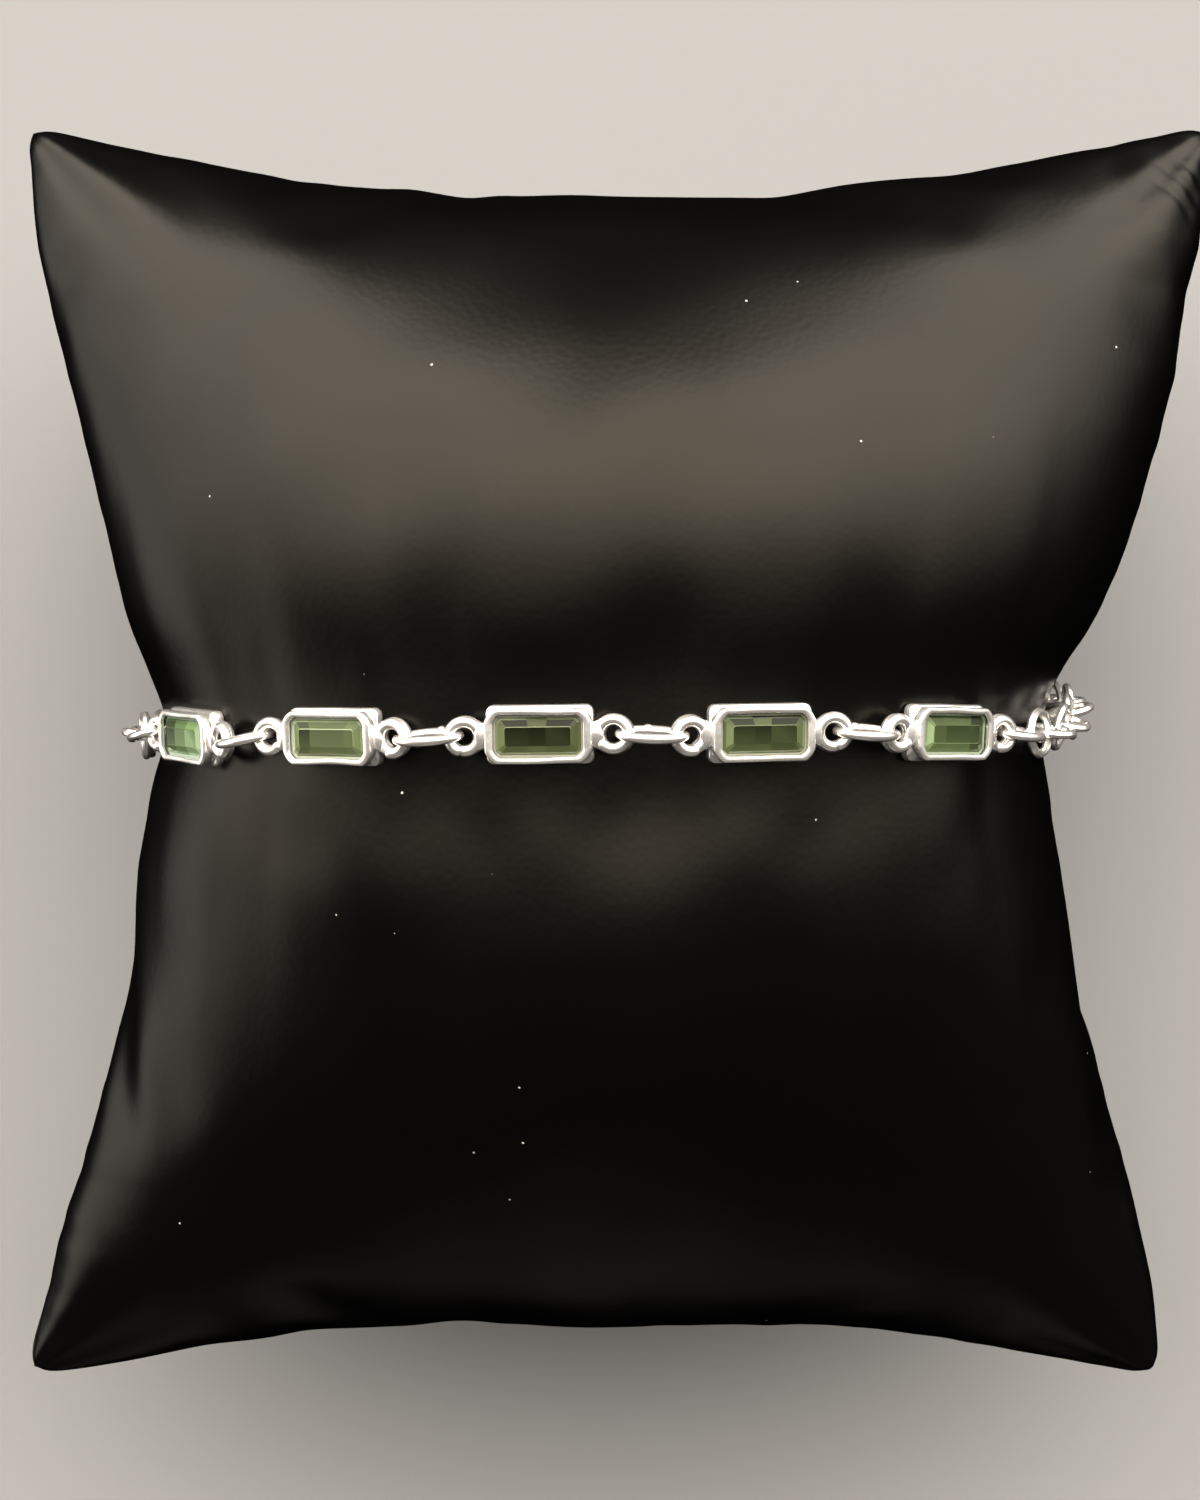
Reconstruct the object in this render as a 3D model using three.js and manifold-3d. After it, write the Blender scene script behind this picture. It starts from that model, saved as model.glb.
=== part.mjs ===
// A link bracelet of five bezel-set step-cut stones, fastened round a small display pillow.
//
// Millimetres, +Z up. The pillow lies on its back with the stones facing up: X runs across it
// and along the front of the bracelet, Y runs along the pillow. The bracelet is a closed loop
// in the X-Z plane round the pillow's pinched waist. Each setting, stone and long link is a mesh
// of its own. The chain behind them has rings under 4 mm, so it is one tube on each side of the
// clasp, as wide as a ring.

import * as THREE from 'three';
import { mergeVertices } from 'three/addons/utils/BufferGeometryUtils.js';
import Module from 'manifold-3d';

const wasm = await Module();
wasm.setup();

// ---------------------------------------------------------------- driving dimensions

// The loop seen along Y: an upper and a lower half ellipse that meet at the pillow's sides.
const LOOP_HALF_WIDTH = 34.3;
const LOOP_RISE = 28.3;
const LOOP_DROP = 20;
const CHAIN_WIDTH = 3.5;
const FLOOR_GAP = 0.35;
const PILLOW_GAP = 0.5;

// Spans along the loop, from one eye's centre to the next.
const SETTING_SPAN = 9.4;
const LINK_SPAN = 4.75;

// Where the walk along the loop starts, and where the clasp lies opposite the middle stone.
// Turns run in degrees from the top of the loop towards +X.
const FIRST_TURN = -75.8;
const CLASP_TURN = 172.8;

// The eyes soldered to each setting: two turns of wire, one on the other.
const EYE_WIRE = 0.65;
const EYE_HOLE = 1.17;
const EYE_TURN_PITCH = 0.46;
const EYE_MIDDLE = (EYE_HOLE + EYE_WIRE) / 2;

// The long links between the settings.
const LINK_WIRE = 0.55;
const LINK_WIDTH = 3.2;
const LINK_ROLL = 9;

// Heights are measured from a setting's back; the eyes' centres lie at EYE_LEVEL.
const EYE_LEVEL = 0.95;
const WALL_END = 3.4;
const NECK = { length: 0.62, width: 1.45, height: 0.9, sink: 0.12, level: -0.1 };

// The clasp and the ring that it catches.
const CLASP = { length: 7.8, width: 4.4, thick: 1.5, tailRadius: 1.3, tailHole: 0.65 };
const CLASP_HOOK = { length: 4.6, width: 1.9, place: 0.9 };
const CATCH_RING = { width: 3.5, wire: 0.7 };
const CLASP_HALF_TURN = 4;

// The tubes stop this far short of the long links, and this many degrees of turn from the clasp.
const CHAIN_SETBACK = 0.65;
const CLASP_REACH = 10.4;

// The pillow: its ends, how full it is, and how deep the bracelet pinches it.
const PILLOW_TOP = 44;
const PILLOW_BOTTOM = -50.3;
const PINCH_BAND = 3.2;
const WAIST_REACH = 8;
const TOP_BOW = 0.135;
const BOTTOM_BOW = 0.105;
const BOW_POWER = 4;
const EDGE_POWER = 4;
const CORNER_POWER = 3.2;
const SEAM_EDGE = 0.6;

// How finely each shape is cut into flat faces.
const EYE_STEPS = 14;
const EYE_SIDE_STEPS = 6;
const CORNER_POINTS = 3;
const STONE_SIDES = 8;
const WIRE_SIDES = 8;
const RING_STEPS = 16;
const CHAIN_STATIONS = 15;
const CLASP_STEPS = 9;
const PILLOW_COLUMNS = 18;
const ROWS_BETWEEN = 2;

// Points closer than this are one point.
const TOUCHING = 1e-4;

// A turn is found by halving a stretch of this many degrees, this many times.
const LONGEST_STRETCH = 45;
const HALVINGS = 40;

// ---------------------------------------------------------------- short tables

// How far the loop strays along Y, by turn.
const DRIFT = [
  { turn: -180, y: 0 },
  { turn: -90, y: -1.2 },
  { turn: -56, y: -0.7 },
  { turn: -31, y: -0.35 },
  { turn: -7, y: 0 },
  { turn: 16, y: 0.05 },
  { turn: 42, y: -0.2 },
  { turn: 60, y: -0.5 },
  { turn: 92, y: 1.1 },
  { turn: 180, y: 0 },
];

// How each setting lies, from -X to +X: roll about its length, swing about its upright axis.
const SETTINGS = [
  { roll: 2, swing: -2.5 },
  { roll: 3, swing: -0.6 },
  { roll: 3.5, swing: 0.3 },
  { roll: 3, swing: 0.8 },
  { roll: 2.5, swing: -0.6 },
];

// The wall of a setting, from its open back round the outside, over the rim and down inside.
// x and y are half the length and half the width, and cornerX and cornerY the corner's size.
const WALL = [
  { x: 2.55, y: 1.05, cornerX: 0.2, cornerY: 0.2, z: 0 },
  { x: 3.3, y: 1.77, cornerX: 0.28, cornerY: 0.28, z: 0 },
  { x: WALL_END, y: 1.86, cornerX: 0.32, cornerY: 0.32, z: 0.14 },
  { x: WALL_END, y: 1.86, cornerX: 0.32, cornerY: 0.32, z: 0.68 },
  { x: 3.24, y: 1.7, cornerX: 0.3, cornerY: 0.3, z: 0.8 },
  { x: 3.28, y: 1.68, cornerX: 0.7, cornerY: 0.86, z: 0.84 },
  { x: 3.36, y: 1.7, cornerX: 0.76, cornerY: 0.96, z: 1.05 },
  { x: 3.34, y: 1.68, cornerX: 0.76, cornerY: 0.96, z: 1.5 },
  { x: 3.2, y: 1.57, cornerX: 0.72, cornerY: 0.9, z: 1.75 },
  { x: 2.9, y: 1.42, cornerX: 0.62, cornerY: 0.76, z: 1.75 },
  { x: 2.8, y: 1.34, cornerX: 0.58, cornerY: 0.7, z: 1.6 },
  { x: 2.86, y: 1.38, cornerX: 0.58, cornerY: 0.7, z: 1.46 },
  { x: 3.08, y: 1.56, cornerX: 0.62, cornerY: 0.76, z: 1.36 },
  { x: 3.08, y: 1.56, cornerX: 0.62, cornerY: 0.76, z: 1 },
  { x: 2.6, y: 1.1, cornerX: 0.3, cornerY: 0.3, z: 0.45 },
];

// The step-cut stone from its keel up to its table, with straight-cut corners.
const STONE = [
  { x: 1.9, y: 0.3, cornerX: 0.12, cornerY: 0.12, z: 0.3 },
  { x: 2.5, y: 0.98, cornerX: 0.34, cornerY: 0.36, z: 0.66 },
  { x: 2.95, y: 1.43, cornerX: 0.5, cornerY: 0.58, z: 1.12 },
  { x: 2.95, y: 1.43, cornerX: 0.5, cornerY: 0.58, z: 1.22 },
  { x: 2.62, y: 1.08, cornerX: 0.4, cornerY: 0.44, z: 1.44 },
  { x: 2.12, y: 0.56, cornerX: 0.24, cornerY: 0.24, z: 1.66 },
];

// The pillow's outline: its half width on each side, by place along Y.
const PILLOW_SIDES = [
  { at: PILLOW_BOTTOM, left: 44.5, right: 42.4 },
  { at: -42, left: 42.1, right: 40.8 },
  { at: -33, left: 39.1, right: 38.5 },
  { at: -25, left: 36.5, right: 36 },
  { at: -17, left: 34.9, right: 34 },
  { at: -10, left: 34.3, right: 32.9 },
  { at: -PINCH_BAND, left: 32.1, right: 32.5 },
  { at: 0, left: 32.05, right: 32.05 },
  { at: PINCH_BAND, left: 33.1, right: 32.3 },
  { at: 7, left: 35, right: 35.6 },
  { at: 12, left: 36.4, right: 37.7 },
  { at: 20, left: 38.5, right: 40.2 },
  { at: 32, left: 41.3, right: 43 },
  { at: PILLOW_TOP, left: 43.3, right: 45.1 },
];

// The pillow's two faces. The height is a dome along Y, its two powers by end, times a crown over
// X. The front is softly pointed and steep near its seam, so that its corners stay thin.
const FRONT_FACE = {
  full: 28.7,
  fade: 16,
  top: { power: 1.21, fall: 0.55, thin: 0.16 },
  bottom: { power: 1.6, fall: 0.52, thin: 0.5 },
  sharp: 0.28,
  softY: 0.1,
  softX: 0.16,
  pointedAway: 0.39,
  pointedEnd: 1.04,
  steepAway: 0.1,
  steepEnd: 0.1,
  late: 3.9,
};
const BACK_FACE = {
  full: 24.6,
  fade: 6.5,
  top: { power: 2.6, fall: 0.62, thin: 0 },
  bottom: { power: 2.6, fall: 0.62, thin: 0 },
  sharp: 0,
  softY: 0.1,
  softX: 0,
  pointedAway: 0,
  pointedEnd: 0,
  steepAway: 0,
  steepEnd: -0.3,
  late: 2,
};

// ---------------------------------------------------------------- finishes

const silver = { color: 0xe6e4e0, roughness: 0.18, metalness: 1 };
const peridot = { color: 0x8fae55, roughness: 0.05, metalness: 0 };
const leatherette = { color: 0x141311, roughness: 0.5, metalness: 0 };

// ---------------------------------------------------------------- small helpers

const radians = THREE.MathUtils.degToRad;
const model = new THREE.Group();

// A closed geometry with its shared corners merged, so that only positions are left.
function welded(geometry) {
  geometry.deleteAttribute('normal');
  geometry.deleteAttribute('uv');
  return mergeVertices(geometry, TOUCHING);
}

function toSolid(geometry) {
  const closed = welded(geometry);
  return new wasm.Manifold(new wasm.Mesh({
    numProp: 3,
    vertProperties: closed.attributes.position.array,
    triVerts: new Uint32Array(closed.index.array),
  }));
}

function toGeometry(solid) {
  const mesh = solid.getMesh();
  const geometry = new THREE.BufferGeometry();
  geometry.setAttribute('position', new THREE.BufferAttribute(mesh.vertProperties, 3));
  geometry.setIndex(new THREE.BufferAttribute(mesh.triVerts, 1));
  return geometry;
}

function addPiece(name, geometry, finish, place = new THREE.Matrix4()) {
  const mesh = new THREE.Mesh(geometry, new THREE.MeshStandardMaterial(finish));
  mesh.name = name;
  place.decompose(mesh.position, mesh.quaternion, mesh.scale);
  model.add(mesh);
}

// The value of a table's column at a place between its rows, eased from row to row.
function between(rows, key, place, column) {
  const next = Math.max(1, rows.findIndex((row) => row[key] >= place));
  const low = rows[next - 1];
  const high = rows[next];
  const part = (place - low[key]) / (high[key] - low[key]);
  return THREE.MathUtils.lerp(low[column], high[column], part * part * (3 - 2 * part));
}

// A closed band: a torus whose section is given a table's rows and whose round is given an
// outline. outlinePoint(row, step) says where each of its corners goes.
function band(rows, steps, outlinePoint) {
  const geometry = new THREE.TorusGeometry(2, 1, rows.length, steps);
  const position = geometry.attributes.position;
  for (let index = 0; index < position.count; index += 1) {
    const row = rows[Math.floor(index / (steps + 1)) % rows.length];
    const point = outlinePoint(row, (index % (steps + 1)) % steps);
    position.setXYZ(index, point.x, point.y, row.z);
  }
  return geometry;
}

// ---------------------------------------------------------------- the loop

const LOOP_LEVEL = FLOOR_GAP + CHAIN_WIDTH / 2 + LOOP_DROP;
const loopCentre = new THREE.Vector3(0, 0, LOOP_LEVEL);

function loopPoint(turn) {
  const angle = radians(turn);
  const height = Math.cos(angle) > 0 ? LOOP_RISE : LOOP_DROP;
  const wrapped = THREE.MathUtils.euclideanModulo(turn + 180, 360) - 180;
  return new THREE.Vector3(
    LOOP_HALF_WIDTH * Math.sin(angle),
    between(DRIFT, 'turn', wrapped, 'y'),
    LOOP_LEVEL + height * Math.cos(angle),
  );
}

// The turn that lies one straight span further along the loop, found by halving.
function turnAfter(turn, span, sense = 1) {
  const start = loopPoint(turn);
  let near = turn;
  let far = turn + LONGEST_STRETCH * sense;
  for (let pass = 0; pass < HALVINGS; pass += 1) {
    const middle = (near + far) / 2;
    if (start.distanceTo(loopPoint(middle)) < span) {
      near = middle;
    } else {
      far = middle;
    }
  }
  return near;
}

function turnBefore(turn, span) {
  return turnAfter(turn, span, -1);
}

// The frame of a rigid unit between two points: X from one to the other, Z out of the loop.
function frameBetween(start, end) {
  const middle = start.clone().add(end).divideScalar(2);
  const along = end.clone().sub(start).normalize();
  const out = middle.clone().sub(loopCentre);
  out.addScaledVector(along, -out.dot(along)).normalize();
  const across = out.clone().cross(along);
  return new THREE.Matrix4().makeBasis(along, across, out).setPosition(middle);
}

// ---------------------------------------------------------------- settings and stones

// Corner points of a rectangle with elliptic corners, the same number to each corner.
function roundedPoint(row, step) {
  const corner = Math.floor(step / CORNER_POINTS);
  const angle = radians(90 * (corner + (step % CORNER_POINTS) / (CORNER_POINTS - 1)));
  const sideX = corner === 0 || corner === 3 ? 1 : -1;
  const sideY = corner < 2 ? 1 : -1;
  return {
    x: sideX * (row.x - row.cornerX) + row.cornerX * Math.cos(angle),
    y: sideY * (row.y - row.cornerY) + row.cornerY * Math.sin(angle),
  };
}

// Corner points of a rectangle with straight-cut corners, two points to each corner.
function cutPoint(row, step) {
  const corner = Math.floor(step / 2);
  const sideX = corner === 0 || corner === 3 ? 1 : -1;
  const sideY = corner < 2 ? 1 : -1;
  const onEnd = (step % 2 === 0) === (corner % 2 === 0);
  return {
    x: sideX * (onEnd ? row.x : row.x - row.cornerX),
    y: sideY * (onEnd ? row.y - row.cornerY : row.y),
  };
}

// The section of an eye: the outer edge of two wires, one on the other.
function eyeSection() {
  const meet = Math.asin(EYE_TURN_PITCH / EYE_WIRE);
  const rows = [];
  for (const side of [1, -1]) {
    const start = side > 0 ? -meet : Math.PI - meet;
    for (let step = 0; step < EYE_SIDE_STEPS; step += 1) {
      const angle = start + ((Math.PI + 2 * meet) * step) / EYE_SIDE_STEPS;
      rows.push({
        radius: EYE_MIDDLE + (EYE_WIRE / 2) * Math.cos(angle),
        z: (side * EYE_TURN_PITCH) / 2 + (EYE_WIRE / 2) * Math.sin(angle),
      });
    }
  }
  return rows;
}

// One eye, lying flat on its axis, its seam turned towards the setting.
function eyeGeometry() {
  return band(eyeSection(), EYE_STEPS, (row, step) => {
    const angle = (2 * Math.PI * step) / EYE_STEPS;
    return { x: row.radius * Math.cos(angle), y: row.radius * Math.sin(angle) };
  });
}

// The bezel, its two eyes and their solder necks are one soldered solid.
function settingGeometry() {
  const wall = band(WALL, 4 * CORNER_POINTS, roundedPoint);
  wall.translate(0, 0, -EYE_LEVEL);
  let solid = toSolid(wall);
  for (const side of [-1, 1]) {
    const eye = eyeGeometry();
    eye.translate((side * SETTING_SPAN) / 2, 0, 0);
    const neck = new THREE.BoxGeometry(NECK.length, NECK.width, NECK.height);
    neck.translate(side * (WALL_END + NECK.length / 2 - NECK.sink), 0, NECK.level);
    solid = solid.add(toSolid(eye)).add(toSolid(neck));
  }
  return toGeometry(solid);
}

// The stone is a cylinder of eight sides whose rings are moved to the cut's outlines.
function stoneGeometry() {
  const levels = STONE.length - 1;
  const geometry = new THREE.CylinderGeometry(1, 1, 1, STONE_SIDES, levels);
  geometry.rotateX(Math.PI / 2);
  const position = geometry.attributes.position;
  for (let index = 0; index < position.count; index += 1) {
    const level = Math.round((position.getZ(index) + 0.5) * levels);
    const row = STONE[level];
    const radius = Math.hypot(position.getX(index), position.getY(index));
    const angle = Math.atan2(position.getY(index), position.getX(index));
    const turned = Math.round((angle * STONE_SIDES) / (2 * Math.PI));
    const step = THREE.MathUtils.euclideanModulo(turned, STONE_SIDES);
    const point = radius > 0.5 ? cutPoint(row, step) : { x: 0, y: 0 };
    position.setXYZ(index, point.x, point.y, row.z - EYE_LEVEL);
  }
  return welded(geometry);
}

// ---------------------------------------------------------------- links and chain

// A round ring, or an oval one where the straight is more than nothing, flat in X-Y.
function ringGeometry(width, wire, straight) {
  const radius = (width - wire) / 2;
  const geometry = new THREE.TorusGeometry(radius, wire / 2, WIRE_SIDES, RING_STEPS);
  const position = geometry.attributes.position;
  for (let index = 0; index < position.count; index += 1) {
    const x = position.getX(index);
    const side = Math.abs(x) < TOUCHING ? 0 : Math.sign(x);
    position.setX(index, x + (side * straight) / 2);
  }
  return welded(geometry);
}

// A long link stands edge-on to the loop's outside, rolled a little so both strands show.
function addLink(name, start, end) {
  const geometry = ringGeometry(LINK_WIDTH, LINK_WIRE, LINK_SPAN + LINK_WIRE - LINK_WIDTH);
  const upright = new THREE.Matrix4().makeRotationX(radians(90 + LINK_ROLL));
  addPiece(name, geometry, silver, frameBetween(start, end).multiply(upright));
}

// A fine chain as one tube of its rings' width along the loop, between two turns.
function addChain(name, fromTurn, toTurn) {
  const points = [];
  for (let station = 0; station < CHAIN_STATIONS; station += 1) {
    const part = station / (CHAIN_STATIONS - 1);
    points.push(loopPoint(THREE.MathUtils.lerp(fromTurn, toTurn, part)));
  }
  const section = new THREE.Shape();
  section.absarc(0, 0, CHAIN_WIDTH / 2, 0, 2 * Math.PI);
  const route = new THREE.CatmullRomCurve3(points);
  const options = {
    steps: CHAIN_STATIONS - 1, curveSegments: WIRE_SIDES, extrudePath: route,
  };
  addPiece(name, welded(new THREE.ExtrudeGeometry(section, options)), silver);
}

// ---------------------------------------------------------------- clasp

// A plain lobster-shaped clasp, one piece: a hooked body with a small eye at its tail.
function claspGeometry() {
  const body = new THREE.Shape();
  body.absellipse(0, 0, CLASP.length / 2, CLASP.width / 2, 0, 2 * Math.PI);
  const hook = new THREE.Path();
  hook.absellipse(CLASP_HOOK.place, 0, CLASP_HOOK.length / 2, CLASP_HOOK.width / 2, 0, 2 * Math.PI);
  body.holes.push(hook);
  const tailPlace = -(CLASP.length + CLASP.tailRadius) / 2;
  const tail = new THREE.Shape();
  tail.absarc(tailPlace, 0, CLASP.tailRadius, 0, 2 * Math.PI);
  const hole = new THREE.Path();
  hole.absarc(tailPlace, 0, CLASP.tailHole, 0, 2 * Math.PI);
  tail.holes.push(hole);
  const solids = [body, tail].map((shape) => {
    const geometry = new THREE.ExtrudeGeometry(shape, {
      depth: CLASP.thick, curveSegments: CLASP_STEPS, bevelEnabled: false,
    });
    geometry.translate(0, 0, -CLASP.thick / 2);
    return toSolid(geometry);
  });
  return toGeometry(solids[0].add(solids[1]));
}

// ---------------------------------------------------------------- pillow

// A value rounded off near zero, and still 1 at 1.
function softened(value, width) {
  return (Math.hypot(value, width) - width) / (Math.hypot(1, width) - width);
}

// How high a face stands over the seam at a share u of its half width and a place along Y.
function faceHeight(face, waist, u, y) {
  const end = y > 0 ? face.top : face.bottom;
  const share = y > 0 ? y / PILLOW_TOP : y / PILLOW_BOTTOM;
  const fall = end.fall - face.sharp * u ** EDGE_POWER;
  const dome = Math.max(0, 1 - softened(share, face.softY) ** end.power) ** fall;
  const fade = Math.max(0, Math.abs(y) - PINCH_BAND) / face.fade;
  const pinch = Math.exp(-fade * fade);
  const near = Math.exp(-((y / WAIST_REACH) ** 2));
  const away = near * Math.abs(u) + (1 - near) * softened(u, face.softX);
  const pointed = 2 - face.pointedAway * (1 - near) - face.pointedEnd * share;
  const late = share ** face.late;
  const steep = 0.5 - face.steepAway * (1 - near) * (1 - late) - face.steepEnd * late;
  const crown = Math.max(0, 1 - away ** pointed) ** steep;
  const corner = 1 - end.thin * Math.abs(u * share) ** CORNER_POWER;
  return (face.full * dome * (1 - pinch) + waist * pinch) * crown * corner;
}

// The pillow is a box whose two faces bulge from one seam line, lofted through its sections.
function pillowGeometry() {
  const rows = [];
  for (let index = 0; index + 1 < PILLOW_SIDES.length; index += 1) {
    for (let part = 0; part < ROWS_BETWEEN; part += 1) {
      const low = PILLOW_SIDES[index].at;
      const high = PILLOW_SIDES[index + 1].at;
      rows.push(THREE.MathUtils.lerp(low, high, part / ROWS_BETWEEN));
    }
  }
  rows.push(PILLOW_TOP);
  const gap = CHAIN_WIDTH / 2 + PILLOW_GAP;
  const geometry = new THREE.BoxGeometry(2, 2, 2, PILLOW_COLUMNS, rows.length - 1, 1);
  const position = geometry.attributes.position;
  for (let index = 0; index < position.count; index += 1) {
    const u = Math.sin((position.getX(index) * Math.PI) / 2);
    const row = Math.round(((position.getY(index) + 1) / 2) * (rows.length - 1));
    const y = rows[row];
    const share = y > 0 ? y / PILLOW_TOP : y / PILLOW_BOTTOM;
    const bow = y > 0 ? TOP_BOW : BOTTOM_BOW;
    const front = position.getZ(index) > 0;
    const face = front ? FRONT_FACE : BACK_FACE;
    const waist = (front ? LOOP_RISE : LOOP_DROP) - gap - SEAM_EDGE / 2;
    const rise = SEAM_EDGE / 2 + faceHeight(face, waist, u, y);
    const side = between(PILLOW_SIDES, 'at', y, u < 0 ? 'left' : 'right');
    position.setXYZ(
      index,
      side * u,
      y * (1 - bow * (1 - u * u) * share ** BOW_POWER),
      Math.max(0, LOOP_LEVEL + (front ? rise : -rise)),
    );
  }
  return welded(geometry);
}

// ---------------------------------------------------------------- assembly

addPiece('display_pillow', pillowGeometry(), leatherette);

// The middle of each eye's outer wire after its setting's roll and swing: a long link goes from
// one of these grips to the next, and the first and last go on to the chains.
const grips = [];
const stone = stoneGeometry();
const setting = settingGeometry();
let turn = turnAfter(FIRST_TURN, LINK_SPAN);
SETTINGS.forEach((lie, index) => {
  const nextTurn = turnAfter(turn, SETTING_SPAN);
  const place = frameBetween(loopPoint(turn), loopPoint(nextTurn));
  place.multiply(new THREE.Matrix4().makeRotationZ(radians(lie.swing)));
  place.multiply(new THREE.Matrix4().makeRotationX(radians(lie.roll)));
  addPiece(`setting_${index + 1}`, setting.clone(), silver, place);
  addPiece(`stone_${index + 1}`, stone.clone(), peridot, place);
  for (const side of [-1, 1]) {
    const reach = side * (SETTING_SPAN / 2 + EYE_MIDDLE);
    grips.push(new THREE.Vector3(reach, 0, 0).applyMatrix4(place));
  }
  turn = turnAfter(nextTurn, LINK_SPAN);
});
const lastTurn = turn;

// Six long links: one at each end and one in each gap between two settings.
grips.unshift(loopPoint(turnAfter(FIRST_TURN, EYE_MIDDLE)));
grips.push(loopPoint(turnBefore(lastTurn, EYE_MIDDLE)));
for (let index = 0; index < grips.length; index += 2) {
  addLink(`long_link_${index / 2 + 1}`, grips[index], grips[index + 1]);
}

// The clasp and the ring it has caught, then the two chains that reach them.
const claspFrame = frameBetween(
  loopPoint(CLASP_TURN - CLASP_HALF_TURN),
  loopPoint(CLASP_TURN + CLASP_HALF_TURN),
);
addPiece('clasp', claspGeometry(), silver, claspFrame);
const hookWall = (CLASP.length / 2 + CLASP_HOOK.place + CLASP_HOOK.length / 2) / 2;
const ringShift = new THREE.Matrix4().makeTranslation(hookWall, 0, 0);
const ringTurn = new THREE.Matrix4().makeRotationX(Math.PI / 2);
const ringFrame = claspFrame.clone().multiply(ringShift).multiply(ringTurn);
addPiece('catch_ring', ringGeometry(CATCH_RING.width, CATCH_RING.wire, 0), silver, ringFrame);

addChain('chain_right', turnAfter(lastTurn, CHAIN_SETBACK), CLASP_TURN - CLASP_REACH);
addChain('chain_left', CLASP_TURN + CLASP_REACH, turnBefore(360 + FIRST_TURN, CHAIN_SETBACK));

// The origin lies under the middle of the whole, on the surface that the pillow rests on.
model.updateMatrixWorld(true);
const box = new THREE.Box3().setFromObject(model, true);
const middle = box.getCenter(new THREE.Vector3());
model.position.set(-middle.x, -middle.y, -box.min.z);

export default model;
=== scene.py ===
# %% [markdown]
# # A link bracelet on its display pillow
#
# Five pale green step-cut stones sit in rubbed-over silver settings. Long oval links join the
# settings, and a fine cable chain carries the bracelet round the back of a small black
# leatherette pillow, which holds it open for show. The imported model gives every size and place
# here. This script makes the finished surfaces round it, and lengths in it are millimetres until
# a mesh is made.

# %% Load the frame
import math

import bmesh
import bpy
import numpy as np
from mathutils import Matrix, Vector


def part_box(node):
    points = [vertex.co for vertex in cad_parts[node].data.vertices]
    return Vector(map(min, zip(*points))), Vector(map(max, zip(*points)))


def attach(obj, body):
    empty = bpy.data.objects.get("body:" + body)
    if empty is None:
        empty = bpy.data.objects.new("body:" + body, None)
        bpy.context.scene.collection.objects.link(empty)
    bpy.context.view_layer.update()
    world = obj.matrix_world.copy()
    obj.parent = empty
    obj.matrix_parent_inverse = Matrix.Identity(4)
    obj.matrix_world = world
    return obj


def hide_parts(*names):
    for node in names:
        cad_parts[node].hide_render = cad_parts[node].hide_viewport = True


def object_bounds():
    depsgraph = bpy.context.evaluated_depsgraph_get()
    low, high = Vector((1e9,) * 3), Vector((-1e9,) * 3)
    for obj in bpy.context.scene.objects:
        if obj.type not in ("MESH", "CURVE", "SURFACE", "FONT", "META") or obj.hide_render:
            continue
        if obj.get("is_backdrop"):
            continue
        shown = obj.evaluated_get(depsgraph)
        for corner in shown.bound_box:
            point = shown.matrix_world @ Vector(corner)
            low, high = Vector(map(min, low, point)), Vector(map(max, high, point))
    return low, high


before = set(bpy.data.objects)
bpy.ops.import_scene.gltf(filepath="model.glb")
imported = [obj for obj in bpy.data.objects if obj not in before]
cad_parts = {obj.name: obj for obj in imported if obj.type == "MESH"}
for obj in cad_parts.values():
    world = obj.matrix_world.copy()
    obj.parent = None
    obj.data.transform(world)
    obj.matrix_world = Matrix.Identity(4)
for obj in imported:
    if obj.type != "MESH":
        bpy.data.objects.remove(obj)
cad_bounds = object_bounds()
MM = 0.001
print("CAD nodes:", len(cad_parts))

# %% [markdown]
# ## Meshes from arrays
#
# Every new surface below is a grid of points worked out by numpy. A grid becomes squares by
# numbering its points, a closed surface joins its last row or column to its first, and points
# that fall together, such as those of a pole, are merged so that the skin is closed.

# %% Grid and mesh helpers
def grid_squares(rows, columns, close_rows=False, close_columns=False):
    """Corner numbers of a grid's squares: each point, the next in its row, and the two above."""
    row, column = np.meshgrid(
        np.arange(rows if close_rows else rows - 1),
        np.arange(columns if close_columns else columns - 1),
        indexing="ij",
    )
    above, beside = (row + 1) % rows, (column + 1) % columns
    corners = [row * columns + column, row * columns + beside,
               above * columns + beside, above * columns + column]
    return np.stack(corners, -1).reshape(-1, 4)


def shell(points, close_rows=False):
    """A grid of points, closed round its rows, as a list of points and its squares."""
    return points.reshape(-1, 3), grid_squares(*points.shape[:2], close_rows, True)


def joined(parts):
    """Several (points, squares) shells as one: each shell's numbers start after the last one's."""
    starts = np.cumsum([0] + [len(points) for points, _ in parts[:-1]])
    points = np.concatenate([points for points, _ in parts])
    squares = np.concatenate([squares + start for (_, squares), start in zip(parts, starts)])
    return points, squares


def plain_mesh(name, points, faces):
    """A mesh in metres from points in millimetres."""
    mesh = bpy.data.meshes.new(name)
    mesh.from_pydata((points * MM).tolist(), [], faces)
    return mesh


def points_of(mesh):
    """A mesh's points in millimetres."""
    places = np.empty(len(mesh.vertices) * 3, np.float32)
    mesh.vertices.foreach_get("co", places)
    return places.astype(float).reshape(-1, 3) / MM


def shown(name, data):
    """A new object with this data, linked into the scene."""
    made = bpy.data.objects.new(name, data)
    bpy.context.scene.collection.objects.link(made)
    return made


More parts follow.
